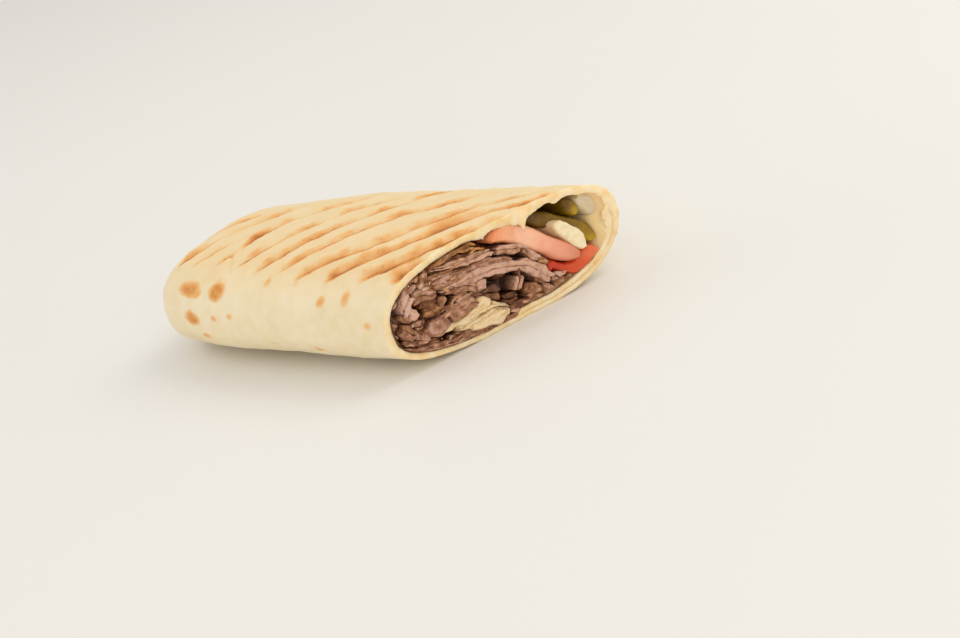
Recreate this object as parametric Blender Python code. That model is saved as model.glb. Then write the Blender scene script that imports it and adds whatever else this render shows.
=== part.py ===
"""One half of a doner durum, lying on its flat side.

Flatbread pressed on a ribbed grill, rolled round sliced meat, tomato, pickle,
onion, a fry and lettuce, folded shut at one end and cut across at a slant.

The origin is under the middle of the roll.  +X runs from the closed end to
the cut, +Y to the roll's long side, +Z up.  Sizes are in millimetres and go
to Blender's metres through MM.  The cut face is drawn in its own plane: "a"
runs across it from the short side to the long side, "z" runs up.
"""

import math
import random

import bmesh
import bpy
from mathutils import Matrix

MM = 0.001

# The roll
LONG_SIDE = 159.0        # closed end to the cut, along the long side
SHORT_SIDE = 124.0       # the same along the short side
WIDTH = 81.5
HEIGHT = 34.2
END_WIDTH = 57.5         # at the closed end
END_HEIGHT = 32.0
END_ROUND = 16.0         # how far in from the end the roll rounds over
END_FLAT_WIDTH = 0.76    # share of the width left at the very end
END_FLAT_HEIGHT = 0.34   # share of the height left there
TAPER = 78.0             # from the closed end to full width
MIDDLE = (LONG_SIDE + SHORT_SIDE) / 2
SLANT = (LONG_SIDE - SHORT_SIDE) / 2
CUT_ANGLE = math.atan2(LONG_SIDE - SHORT_SIDE, WIDTH)
CROWN_TOP = 2.8          # how square the section is above its middle
CROWN_BOTTOM = 2.4       # and below it, at the cut
CROWN_INNER = 2.05       # and below it, from the closed end to halfway
SAG = 1.025              # presses the underside flat where it rests
LEAN = 2.2               # how much lower the short side bulges than the long

# The bread
WALL = 1.8               # one layer of bread
SECOND_LAYER = 1.7       # the sheet's inner end, lying on the first layer
SECOND_FROM = -92.0      # degrees round the section where it starts
SECOND_TO = 12.0         # and where it ends
END_WALL = 5.0           # folded layers at the closed end
HOLLOW_WIDE = WIDTH / 2 - WALL
HOLLOW_HIGH = HEIGHT / 2 - WALL
LUMP = 0.8               # the sheet's unevenness, always outwards
LUMP_WAVES = (           # share, turns along x, y and z in radians per mm, start
    (1.0, 0.077, 0.053, 0.0, 1.3),
    (0.7, 0.133, -0.083, 0.125, 4.0),
    (0.6, 0.037, 0.125, 0.167, 0.0),
)
TRIM = 0.35              # how far the cut rim wanders

# The grill's marks
GRILL_ANGLE = math.radians(55)
GROOVE_DEPTH = 0.9
GROOVE_EDGE = 1.0        # from the ridge down to a groove's floor, on its sharp side
GROOVE_REACH = 6.5       # how far below the top the grill still presses
STRIPES = (              # along the ribs, across to the sharp edge, width, force
    ((-2, 55, 4, 0), (3, 56.5, 6, 0.7), (9, 56.5, 5.5, 0.7), (14, 56.5, 3, 0)),
    ((-11, 42, 2.5, 0), (-5, 44.5, 5, 0.8), (0, 48, 6, 1), (8, 50.5, 6, 1), (18, 52, 6, 0.9),
     (30, 52, 6, 0.75), (37, 50.5, 5, 0.65), (45, 50, 4, 0)),
    ((-19, 29.5, 2.5, 0), (-12.5, 32, 5, 0.9), (-5, 35.5, 6, 1), (1.5, 37.5, 5.5, 0.9),
     (9, 39, 4.5, 0.6), (16.5, 40.5, 6.5, 0.85), (23, 40.5, 10, 1), (30, 40.5, 10, 1),
     (39, 41.5, 5, 0.65), (44, 45, 4, 0.6), (49, 48, 4, 0.6), (56, 47, 3, 0.4), (65, 44.5, 3, 0)),
    ((-27, 17.5, 3, 0), (-20, 20, 5.5, 0.8), (-10.5, 23, 5.5, 0.8), (0, 27.5, 6, 0.4), (8, 29, 9, 0.45),
     (15.5, 28.5, 9, 0.5), (22.5, 29, 6, 0.6), (30, 30, 5.5, 0.95), (38, 31, 4.5, 0.4),
     (46, 36, 4.5, 0.7), (53, 39, 3, 0.5), (61, 41, 3, 0)),
    ((-31, 7, 3, 0), (-21.5, 9.5, 5, 0.9), (-13.5, 10, 5.5, 0.5), (-6, 10.5, 5.5, 0.6), (2, 11, 5.5, 0.75),
     (10.5, 11, 6, 0.5), (17, 12, 7, 0.8), (26, 15.5, 5, 0.25), (33, 17.5, 5, 0.6), (42, 19.5, 4, 0.5),
     (51, 22, 3, 0)),
    ((-37, -2.5, 3, 0), (-29, -1, 6, 0.75), (-19.5, -1, 6.5, 0.85), (-10, -2, 6, 0.8), (-3, -2, 5.5, 0.9),
     (6, -1, 5, 0.35), (13, -0.5, 6, 0.8), (18.5, -0.5, 5, 0.2), (27, 0, 6, 0.8), (36, -0.5, 5, 0.5),
     (44, -0.5, 4, 0)),
    ((-40, -13, 3, 0), (-33.5, -12.5, 6, 0.95), (-25, -14, 6, 0.6), (-17, -14.5, 5.5, 0.6),
     (-11.5, -14.5, 5, 0.85), (-4.5, -14.5, 4.5, 0.1), (3, -14, 5.5, 0.7), (9.5, -12, 5.5, 0.75),
     (18, -10.5, 4.5, 0.35), (28, -10, 5, 0)),
    ((-46, -22.5, 3, 0), (-41, -23.5, 3, 0.5), (-35, -24.5, 3, 0.1), (-30, -26.5, 5.5, 0.8),
     (-22.5, -29, 6.5, 0.85), (-14, -31, 6, 0.5), (-7.5, -29.5, 5, 0.3), (1, -25.5, 7, 0.6),
     (10, -24, 6, 0.5), (20, -23, 5, 0)),
    ((-53, -34.5, 3, 0), (-46, -33.5, 5, 0.45), (-39, -34, 5, 0.5), (-32, -35, 4, 0.2), (-22.5, -37.5, 4, 0)),
    ((-57, -43.5, 4, 0), (-50.5, -42, 6.5, 0.95), (-45, -43, 5, 0.6), (-38.5, -45.5, 3, 0.35),
     (-30, -45.5, 4, 0.45), (-18, -43.5, 8, 0.75), (-5.5, -42.5, 7, 0.5), (5, -42, 5, 0)),
    ((-43, -57, 2.5, 0), (-37, -55.5, 3.5, 0.5), (-26, -54.5, 4, 0.3), (-15, -54, 4, 0)),
)

# The drawing of the cut face
FACE_MIDDLE = -0.8       # "a" at the middle of the section
FACE_FLOOR = -0.3        # "z" at the underside
CLEAR = 0.3              # gap between neighbours
CORE_ROOM = 1.2          # between the packed meat and the bread
CORE_RECESS = 9.0        # the packed meat behind the slices' ends
DRIFT_TURN = 5.2         # radians of the fillings' wander along the roll
DRIFT_ACROSS = 0.06      # how far they wander, as shares of the hollow
DRIFT_UP = 0.10
STATIONS = (0.10, 0.24, 0.40, 0.56, 0.72, 0.88, 1.0)

# Mesh
BREAD_ROUND = 150
BREAD_ALONG = 132
WALL_ALONG = 34
BREAD_TRIANGLES = 5600


def ease(t):
    """Smooth step from 0 to 1."""
    t = min(1.0, max(0.0, t))
    return t * t * (3 - 2 * t)


def signed_power(value, power):
    return math.copysign(abs(value) ** power, value)


def dome(x, left):
    """Share of the section at x that the rounded closed end leaves."""
    back = max(0.0, 1 - x / END_ROUND)
    return left + (1 - left) * math.sqrt(1 - back * back)


def section(s):
    """Half width, height and middle height of the roll at station s, 0 to 1."""
    x = s * MIDDLE
    grow = 1 - (1 - min(1.0, x / TAPER)) ** 2
    width = END_WIDTH + (WIDTH - END_WIDTH) * grow
    height = END_HEIGHT + (HEIGHT - END_HEIGHT) * grow
    half = width / 2 * dome(x, END_FLAT_WIDTH)
    return half, height * dome(x, END_FLAT_HEIGHT), height / 2


def along(s, y):
    """x of station s at y: square at the closed end, slanted at the cut."""
    return s * (MIDDLE + SLANT * y / (WIDTH / 2))


def crown(s, r):
    """The exponent of the section's outline at station s, at height r."""
    if r > 0:
        return CROWN_TOP
    return CROWN_INNER + (CROWN_BOTTOM - CROWN_INNER) * ease(2 * s - 1)


def outline(s, angle):
    """A point of the section's outline, as shares of its half sizes."""
    c, up = math.cos(angle), math.sin(angle)
    power = 2 / crown(s, up)
    q, r = signed_power(c, power), signed_power(up, power)
    return q, max(-1.0, r * SAG) if r < 0 else r


def pressed(x, y):
    """How hard the grill has pressed the sheet at x, y, from 0 to 1."""
    x -= LONG_SIDE / 2
    run = x * math.cos(GRILL_ANGLE) + y * math.sin(GRILL_ANGLE)
    across = x * math.sin(GRILL_ANGLE) - y * math.cos(GRILL_ANGLE)
    hardest = 0.0
    for stripe in STRIPES:
        for (start, *before), (end, *after) in zip(stripe, stripe[1:]):
            if start <= run < end:
                share = (run - start) / (end - start)
                edge, width, force = (b + (a - b) * share for b, a in zip(before, after))
                into = edge - across
                hold = ease(into / GROOVE_EDGE) * ease((width - into) / width * 2)
                hardest = max(hardest, math.sqrt(force) * hold)
    return hardest


def lumps(x, y, z):
    """The sheet's soft unevenness, from 0 to 1."""
    total = sum(wave[0] for wave in LUMP_WAVES)
    high = sum(share * math.sin(kx * x + ky * y + kz * z + start)
               for share, kx, ky, kz, start in LUMP_WAVES)
    return 0.5 + high / total / 2


def lean(q, r):
    """How far the section's sides are shifted up on the long side."""
    return LEAN * q * (1 - r * r)


def bread_outside(s, angle):
    """A point of the bread's outer face."""
    q, r = outline(s, angle)
    half, height, middle = section(s)
    y, z = q * half, middle + r * height / 2 + lean(q, r)
    x = along(s, y)
    swell = LUMP * lumps(x, y, z) * ease((r + 0.98) / 0.3) * ease(s * MIDDLE / 9)
    y += q * swell
    z += r * swell
    z -= GROOVE_DEPTH * pressed(x, y) * ease((z - (HEIGHT - GROOVE_REACH)) / (GROOVE_REACH * 0.7))
    rim = TRIM * math.sin(5 * angle + 1) * ease((s - 0.97) / 0.03)
    return x + rim, y, z


def second_layer(q, r):
    """Share of the hollow's radius that the second layer of bread takes."""
    turn = math.degrees(math.atan2(r, q))
    on = ease((turn - SECOND_FROM) / 5) * ease((SECOND_TO - turn) / 8)
    reach = math.hypot(HOLLOW_WIDE * q, HOLLOW_HIGH * r)
    return on * SECOND_LAYER / max(reach, 1.0)


def hollow(s, q, r):
    """A point of the hollow at station s, from shares of its half sizes."""
    half, height, middle = section(s)
    y = q * (half - WALL)
    return along(s, y), y, middle + r * (height / 2 - WALL) + lean(q, r)


def bread_inside(s, angle):
    """A point of the bread's inner face."""
    q, r = outline(s, angle)
    keep = 1 - second_layer(q, r)
    return hollow(s, q * keep, r * keep)


def gauge(q, r, s=1.0):
    """1 on the hollow's wall at station s, less inside."""
    power = crown(s, r)
    return (abs(q) ** power + abs(r) ** power) ** (1 / power)


def shares(a, z):
    """A point of the cut face's drawing, as shares of the hollow."""
    q = (a - FACE_MIDDLE) * math.cos(CUT_ANGLE) / HOLLOW_WIDE
    flat = r = (z - FACE_FLOOR - HEIGHT / 2) / HOLLOW_HIGH
    for _ in range(4):
        r = flat - lean(q, r) / HOLLOW_HIGH
    return q, r


def drawn(q, r):
    """The reverse of shares."""
    a = q * HOLLOW_WIDE / math.cos(CUT_ANGLE) + FACE_MIDDLE
    return a, r * HOLLOW_HIGH + lean(q, r) + FACE_FLOOR + HEIGHT / 2


def held_in(q, r, room):
    """The point, or the nearest one inwards that keeps room to the bread."""
    over = gauge(q * HOLLOW_WIDE / (HOLLOW_WIDE - room),
                 r * HOLLOW_HIGH / (HOLLOW_HIGH - room)) / (1 - second_layer(q, r))
    return (q / over, r / over) if over > 1 else (q, r)


def drift(s, q, r):
    """Fillings keep to the section's outline, and wander together inside it."""
    tight = gauge(q, r) / gauge(q, r, s)
    q, r = q * tight, r * tight
    loose = max(0.0, 1 - gauge(q, r, s) ** 2)
    swing = loose * math.sin(DRIFT_TURN * (1 - s))
    return q + DRIFT_ACROSS * swing, r - DRIFT_UP * swing * q


def mesh_object(name, bm, colour, roughness, metallic=0.0):
    """Puts a bmesh in millimetres into the scene as a named, closed object."""
    bmesh.ops.recalc_face_normals(bm, faces=bm.faces)
    if bm.calc_volume(signed=True) < 0:
        bmesh.ops.reverse_faces(bm, faces=bm.faces)
    bmesh.ops.scale(bm, vec=(MM, MM, MM), verts=bm.verts)
    mesh = bpy.data.meshes.new(name)
    bm.to_mesh(mesh)
    bm.free()
    mesh.shade_smooth()
    mesh.set_sharp_from_angle(angle=math.radians(40))
    material = bpy.data.materials.new(name)
    material.use_nodes = True
    shader = material.node_tree.nodes["Principled BSDF"]
    shader.inputs["Base Color"].default_value = (*colour, 1.0)
    shader.inputs["Roughness"].default_value = roughness
    shader.inputs["Metallic"].default_value = metallic
    mesh.materials.append(material)
    thing = bpy.data.objects.new(name, mesh)
    bpy.context.scene.collection.objects.link(thing)
    return thing


def skin(bm, rings, point, start):
    """Adds a sleeve of the roll, open at the cut, from a grid bent round it."""
    made = bmesh.ops.create_grid(bm, x_segments=BREAD_ROUND, y_segments=rings, size=0.5)
    for vert in made["verts"]:
        turn, share = vert.co.x + 0.5, vert.co.y + 0.5
        vert.co = point(start + (1 - start) * share, math.tau * turn)
    bmesh.ops.remove_doubles(bm, verts=made["verts"], dist=0.0001)
    return [v for v in made["verts"] if v.is_valid]


def open_edges(verts):
    """The open edges of a sleeve: those at its closed end, those at the cut."""
    edges = {e for v in verts for e in v.link_edges if e.is_boundary}
    shut = [e for e in edges if max(v.co.x for v in e.verts) < SHORT_SIDE / 2]
    return shut, [e for e in edges if e not in shut]


def flatbread():
    bm = bmesh.new()
    outer = skin(bm, BREAD_ALONG, bread_outside, 0.0)
    inner = skin(bm, WALL_ALONG, bread_inside, END_WALL / MIDDLE)
    outer_end, outer_rim = open_edges(outer)
    inner_end, inner_rim = open_edges(inner)
    bmesh.ops.holes_fill(bm, edges=outer_end, sides=0)
    bmesh.ops.holes_fill(bm, edges=inner_end, sides=0)
    bmesh.ops.bridge_loops(bm, edges=outer_rim + inner_rim)
    bmesh.ops.triangulate(bm, faces=bm.faces)
    count = len(bm.faces)
    bread = mesh_object("flatbread", bm, (0.82, 0.66, 0.42), 0.75)
    fewer = bread.modifiers.new("fewer", "DECIMATE")
    fewer.ratio = BREAD_TRIANGLES / count
    return bread


def soften(points, rounds=1):
    """Cuts a closed outline's corners."""
    for _ in range(rounds):
        cut = []
        for (a, z), (b, w) in zip(points, points[1:] + points[:1]):
            cut += [(a * 0.75 + b * 0.25, z * 0.75 + w * 0.25)]
            cut += [(a * 0.25 + b * 0.75, z * 0.25 + w * 0.75)]
        points = cut
    return points


def area(points):
    pairs = zip(points, points[1:] + points[:1])
    return sum(a * w - b * z for (a, z), (b, w) in pairs) / 2


def shrink(points, distance):
    """Moves a closed outline inwards."""
    side = math.copysign(distance, area(points))
    moved = []
    for i, (a, z) in enumerate(points):
        (pa, pz), (na, nz) = points[i - 1], points[(i + 1) % len(points)]
        long = math.hypot(na - pa, nz - pz) or 1.0
        moved.append((a - side * (nz - pz) / long, z + side * (na - pa) / long))
    return moved


def stroke(points, thickness):
    """A closed outline round a bent line, narrower at its two ends."""
    left, right = [], []
    last = len(points) - 1
    for i, (a, z) in enumerate(points):
        (pa, pz), (na, nz) = points[max(i - 1, 0)], points[min(i + 1, last)]
        long = math.hypot(na - pa, nz - pz)
        half = thickness / 2 * (0.62 if i in (0, last) else 1.0)
        left.append((a - half * (nz - pz) / long, z + half * (na - pa) / long))
        right.append((a + half * (nz - pz) / long, z - half * (na - pa) / long))
    return left + right[::-1]


def lengthen(points, reach, parts):
    """Even points along a bent line that is made longer by reach at each end."""
    def beyond(end, inner):
        long = math.hypot(end[0] - inner[0], end[1] - inner[1])
        return tuple(e + (e - i) * reach / long for e, i in zip(end, inner))
    line = [beyond(points[0], points[1]), *points, beyond(points[-1], points[-2])]
    steps = [math.dist(p, q) for p, q in zip(line, line[1:])]
    even = []
    for k in range(parts + 1):
        go = sum(steps) * k / parts
        i = 0
        while i < len(steps) - 1 and go > steps[i]:
            go -= steps[i]
            i += 1
        share = min(1.0, go / steps[i])
        even.append(tuple(p + (q - p) * share for p, q in zip(line[i], line[i + 1])))
    return even


def sweep(bm, face, rings, room=CLEAR, turn=0.0):
    """Runs an outline of the cut face through the food.

    Each ring is (station, distance in front of it, size): size below 1 draws
    the ring in towards its middle, which rounds the end off.  A turn brings
    the long side's end of the front forward, in mm for each mm across.
    """
    made = bmesh.ops.create_circle(bm, cap_ends=True, segments=len(face), radius=1.0)
    verts = made["verts"]
    front = list({f for v in verts for f in v.link_faces})
    for step in range(1, len(rings)):
        grown = bmesh.ops.extrude_face_region(bm, geom=front)["geom"]
        if step > 1:
            bmesh.ops.delete(bm, geom=front, context="FACES_ONLY")
        lifted = [g for g in grown if isinstance(g, bmesh.types.BMVert)]
        front = [g for g in grown if isinstance(g, bmesh.types.BMFace)]
        bmesh.ops.translate(bm, vec=(0, 0, 1), verts=lifted)
        verts = verts + lifted
    middle = [sum(p[i] for p in face) / len(face) for i in (0, 1)]
    for vert in verts:
        around = math.atan2(vert.co.y, vert.co.x) / math.tau
        a, z = face[round(around * len(face)) % len(face)]
        s, ahead, size = rings[round(vert.co.z)]
        ahead += turn * (a - middle[0]) * s * s
        a, z = middle[0] + (a - middle[0]) * size, middle[1] + (z - middle[1]) * size
        x, y, z = hollow(s, *drift(s, *held_in(*shares(a, z), room)))
        vert.co = (x + ahead, y, z)


def long_rings(ahead, round_off=0.93):
    """Rings of a filling that runs the whole roll, with a rounded front."""
    rings = [(s, ahead * s, 1.0) for s in STATIONS]
    s = STATIONS[-1]
    rings[-1] = (s, ahead - 0.9, 1.0)
    return [(STATIONS[0], 0.0, 0.7), *rings[1:], (s, ahead, round_off)]


def filling(name, face, ahead, turn, colour, roughness):
    """A filling whose outline on the cut face is the same all the way in."""
    bm = bmesh.new()
    sweep(bm, face, long_rings(ahead), CLEAR, turn)
    return mesh_object(name, bm, colour, roughness)


# Outlines of the cut face, as (a, z)
TOMATO_1 = [(-2.2, 31.6), (9, 31.2), (12.4, 28.2), (15.4, 24.6), (18.8, 20.8),
            (21.4, 17.6), (24.4, 14.2), (26.6, 11.0), (26.0, 9.4), (20.6, 10.8),
            (17.6, 12.6), (15.0, 15.6), (12.2, 19.0), (8.2, 23.4), (5.0, 26.2),
            (1.0, 27.4), (-2.2, 29.2)]
TOMATO_2 = [(13.0, 10.4), (15.6, 14.4), (17.2, 12.4), (20.4, 10.4), (26.4, 9.0),
            (28.4, 10.4), (30.0, 13.0), (32.0, 11.4), (34.4, 8.6), (31.0, 6.4),
            (26.0, 4.3), (20.4, 5.6), (19.0, 7.6), (15.4, 8.9)]
FRY = [(19.4, 24.4), (21.4, 26.2), (24.2, 23.6), (28.4, 19.0), (29.2, 14.4),
       (27.6, 11.2), (25.0, 14.2), (22.0, 18.2), (19.4, 21.4)]
PICKLE_1 = [(13.2, 29.6), (16.4, 26.8), (18.8, 23.8), (19.6, 26.6), (22.4, 26.6),
            (25.4, 23.8), (29.4, 19.4), (30.0, 14.0), (31.6, 12.6), (34.2, 13.8),
            (33.6, 18.2), (30.4, 22.2), (25.2, 26.6), (20.4, 29.8), (16.0, 31.4)]
PICKLE_2 = [(25, 30.4), (31.8, 29.8), (33.6, 26.6), (33.2, 22.6), (30.4, 24.6),
            (27.4, 27.2)]
ONION = [(34.6, 28.6), (37.6, 27.4), (40.4, 23.0), (39.0, 18.8), (36.2, 18.4),
         (34.4, 21.6)]
LETTUCE = [(-27.6, 8.8), (-20, 9.7), (-12.4, 11.1), (-9.6, 10.6), (-9.4, 8.9),
           (-12.4, 8.2), (-18.4, 7.9), (-20.2, 6.9), (-18.6, 5.7), (-13, 5.4),
           (-8, 5.1), (-4.9, 5.7), (-4.3, 7.6), (-6.4, 8.6)]
MEAT_CORE = [(-3.4, 29.6), (-8, 31), (-20, 31), (-30, 29.5), (-37, 27.5),
             (-41.5, 22), (-43, 15), (-40.5, 10), (-34, 7), (-30, 6.4),
             (-30, 10.8), (-18, 12.8), (-8, 13.8), (-3.6, 11), (-2.4, 8),
             (-2.4, 4.8), (6, 5), (18, 5.4), (18, 7), (14.2, 8.2), (12, 10.4),
             (13.6, 14.6), (10.8, 18), (7, 22), (4, 24.6), (0, 25.8), (-3.4, 28)]

# Slices that show at the cut: thickness, how far they stand out, bent line
SLICES = (
    (2.5, 0.9, ((-24, 30.7), (-15, 31.1), (-8.6, 29.9))),
    (2.3, 1.3, ((-21.5, 28.4), (-15, 27.5), (-4.6, 27.1))),
    (1.9, -0.6, ((-30, 26.8), (-22, 26.0), (-14, 24.9), (-5, 24.2))),
    (2.7, 0.6, ((-22, 23.0), (-14, 22.2), (-5, 20.4), (2, 18.4), (7, 14.8),
                (10.4, 10.4), (12, 7.4))),
    (1.9, 0.9, ((-1.6, 24.9), (2.6, 23.9), (6.2, 20.8), (9.4, 17.2))),
    (2.1, -0.8, ((-21, 19.7), (-15, 19.3), (-9.5, 17.2))),
    (3.8, 0.8, ((-33, 12.2), (-28.6, 12.7), (-25.4, 13.1))),
    (3.3, 0.2, ((-22.4, 14.1), (-18, 14.3), (-14.6, 14.8))),
    (4.6, 1.0, ((-37.4, 21.2), (-35.6, 24), (-33.2, 25.6))),
    (4.2, 0.4, ((-29.6, 23.4), (-26.6, 22.5))),
    (2.0, -0.3, ((-36, 28.3), (-31, 29.2))),
    (2.2, -0.8, ((-38, 27.2), (-40.4, 24.8))),
    (1.7, 0.3, ((-42.6, 19.6), (-43.4, 15.5), (-42, 11.2), (-39.4, 9.2))),
    (3.5, 0.7, ((-39.4, 16.6), (-38.4, 12.6), (-36.2, 10.2))),
    (1.6, 0.5, ((-38, 7.8), (-30, 5.3), (-21, 3.6), (-12, 2.9), (-4.6, 2.9))),
    (1.8, 0.0, ((-34, 8.6), (-29.4, 7.6))),
    (3.0, -0.4, ((-36.2, 18.9), (-34.4, 19.3))),
    (2.3, -1.2, ((-34, 15.9), (-31, 15.6))),
    (3.4, -1.6, ((-30.4, 18.6), (-26, 18.0))),
    (2.0, -2.2, ((-24.2, 16.4), (-22, 19.2))),
    (2.3, -0.6, ((-12, 15.8), (-7.4, 14.4))),
    (3.6, -0.9, ((-1.4, 12.8), (1.2, 12.4))),
    (3.6, 0.1, ((4.4, 7.6), (7.2, 7.2))),
    (3.0, -1.2, ((-0.8, 7.6), (1.2, 7.0))),
    (2.6, 0.4, ((14.4, 6.5), (16.8, 6.2))),
    (2.8, 0.3, ((10.6, 15.0), (11.8, 13.6))),
    (1.5, -0.5, ((5.5, 4.9), (11, 4.9))),
)
LEAF = 1.4               # the lettuce's thickness with its crinkles
SLICE_SIDES = 5          # steps along a slice's bent line
SLICE_LENGTH = (20.0, 34.0)


def slice_of_meat(thickness, ahead, line, chance):
    """One shaved slice: a bent plate with an uneven, rounded front edge."""
    bm = bmesh.new()
    parts = SLICE_SIDES if len(line) > 2 else 3
    if len(line) > 5:
        parts = SLICE_SIDES + 5
    line = [drawn(*held_in(*shares(*p), CLEAR + thickness * 0.45)) for p in line]
    face = stroke(lengthen(line, thickness * 0.3, parts), thickness)
    back = 1 - chance.uniform(*SLICE_LENGTH) / MIDDLE
    rings = [(back, 0.0, 0.9), ((1 + back) / 2, chance.uniform(-1, 1), 0.97)]
    rings += [(1.0, ahead - 0.8, 1.0), (1.0, ahead, 0.94)]
    sweep(bm, face, rings, CLEAR + chance.uniform(0.0, 0.4))
    return mesh_object("slice", bm, (0.5, 0.3, 0.2), 0.5)


def union(body, pieces):
    """Joins pieces onto a body with one Boolean, applied, pieces removed."""
    group = bpy.data.collections.new("slices")
    bpy.context.scene.collection.children.link(group)
    for piece in pieces:
        bpy.context.scene.collection.objects.unlink(piece)
        group.objects.link(piece)
    join = body.modifiers.new("join", "BOOLEAN")
    join.operation = "UNION"
    join.operand_type = "COLLECTION"
    join.collection = group
    join.solver = "EXACT"
    join.use_self = True
    bpy.context.view_layer.objects.active = body
    bpy.ops.object.modifier_apply(modifier=join.name)
    for piece in pieces:
        bpy.data.objects.remove(piece, do_unlink=True)
    bpy.data.collections.remove(group)


def meat():
    """The packed core, with the slices that show at the cut fused on."""
    chance = random.Random(11)
    bm = bmesh.new()
    face = shrink(MEAT_CORE, CLEAR / 2)
    sweep(bm, face, long_rings(-CORE_RECESS), CORE_ROOM)
    core = mesh_object("meat", bm, (0.42, 0.24, 0.16), 0.55)
    slices = [slice_of_meat(*numbers, chance) for numbers in SLICES]
    union(core, slices)
    return core


def lettuce():
    """One leaf, folded back on itself three times."""
    bm = bmesh.new()
    sweep(bm, stroke(LETTUCE, LEAF), long_rings(-0.4, 1.0))
    return mesh_object("lettuce", bm, (0.78, 0.74, 0.42), 0.4)


def build():
    for thing in list(bpy.data.objects):
        bpy.data.objects.remove(thing, do_unlink=True)
    parts = [flatbread(), meat(), lettuce()]
    for name, face, ahead, turn, colour, roughness in (
            ("tomato_slice_1", TOMATO_1, 0.6, 0.0, (0.78, 0.33, 0.22), 0.3),
            ("tomato_slice_2", TOMATO_2, -0.2, 0.0, (0.68, 0.12, 0.05), 0.25),
            ("fry", FRY, 0.9, 0.0, (0.85, 0.72, 0.42), 0.5),
            ("pickle_1", PICKLE_1, -3.2, 0.26, (0.25, 0.22, 0.03), 0.25),
            ("pickle_2", PICKLE_2, -2.5, 0.0, (0.28, 0.22, 0.05), 0.3),
            ("onion", ONION, -3.0, 0.0, (0.6, 0.54, 0.42), 0.3)):
        face = shrink(soften(face), CLEAR / 2)
        parts.append(filling(name, face, ahead, turn, colour, roughness))
    for part in parts:
        part.data.transform(Matrix.Translation((-LONG_SIDE / 2 * MM, 0, 0)))


build()
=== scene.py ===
"""Dresses one half of a doner durum round its CAD solids.

Each operator makes one piece or a group of like pieces: the grilled flatbread,
the shaved meat, tomato, pickle, onion, a fry, lettuce, loose crumbs and the
stage.  The shapes are worked out in millimetres from the closed end of the
roll, as in the part's source, and finish_piece moves them to the part's own
origin in metres.  The cut face is drawn in its own plane: "a" runs across it
from the short side to the long side, "z" runs up, and depth runs into the roll.
"""

import math
import random

import bmesh
import bpy
from mathutils import Euler, Matrix, Vector, noise
from mathutils.bvhtree import BVHTree


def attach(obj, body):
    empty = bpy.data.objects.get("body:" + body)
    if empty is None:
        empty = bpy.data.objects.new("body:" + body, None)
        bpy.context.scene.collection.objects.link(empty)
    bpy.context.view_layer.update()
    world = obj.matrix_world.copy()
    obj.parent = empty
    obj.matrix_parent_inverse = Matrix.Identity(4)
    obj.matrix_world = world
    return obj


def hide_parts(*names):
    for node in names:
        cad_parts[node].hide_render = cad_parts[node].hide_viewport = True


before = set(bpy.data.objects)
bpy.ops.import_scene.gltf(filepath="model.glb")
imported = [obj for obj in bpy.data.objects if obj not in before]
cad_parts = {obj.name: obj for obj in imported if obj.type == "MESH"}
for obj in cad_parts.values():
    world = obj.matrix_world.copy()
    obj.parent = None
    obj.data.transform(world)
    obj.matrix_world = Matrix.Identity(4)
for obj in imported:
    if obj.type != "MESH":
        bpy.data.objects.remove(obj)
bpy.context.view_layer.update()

bl_info = {
    "name": "Doner Durum",
    "version": (1, 0, 0),
    "blender": (4, 5, 0),
    "location": "View3D > Sidebar > Durum",
    "description": "Flatbread, shaved meat and salad of one half of a rolled sandwich",
    "category": "Object",
}

MM = 0.001
BLEND = {"out": 2, "data_type": "RGBA"}    # settings of a Mix node that mixes colours

# The roll, as the part's source has it
LONG_SIDE = 159.0
SHORT_SIDE = 124.0
WIDTH = 81.5
HEIGHT = 34.2
END_WIDTH = 57.5
END_HEIGHT = 32.0
END_ROUND = 16.0
END_FLAT_WIDTH = 0.76
END_FLAT_HEIGHT = 0.34
TAPER = 78.0
MIDDLE = (LONG_SIDE + SHORT_SIDE) / 2
SLANT = (LONG_SIDE - SHORT_SIDE) / 2
CUT_ANGLE = math.atan2(LONG_SIDE - SHORT_SIDE, WIDTH)
CROWN_TOP = 2.8
CROWN_BOTTOM = 2.4
CROWN_INNER = 2.05
SAG = 1.025
LEAN = 2.2

# The bread's layers and lumps
WALL = 1.8
SECOND_LAYER = 1.7
SECOND_FROM = -92.0      # where the second layer starts and ends, in degrees round the cut
SECOND_TO = 12.0
HOLLOW_WIDE = WIDTH / 2 - WALL
HOLLOW_HIGH = HEIGHT / 2 - WALL
LUMP = 0.8
LUMP_WAVES = (           # share, waves along x, y and z, start
    (1.0, 0.077, 0.053, 0.0, 1.3),
    (0.7, 0.133, -0.083, 0.125, 4.0),
    (0.6, 0.037, 0.125, 0.167, 0.0),
)
TRIM = 0.35

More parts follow.
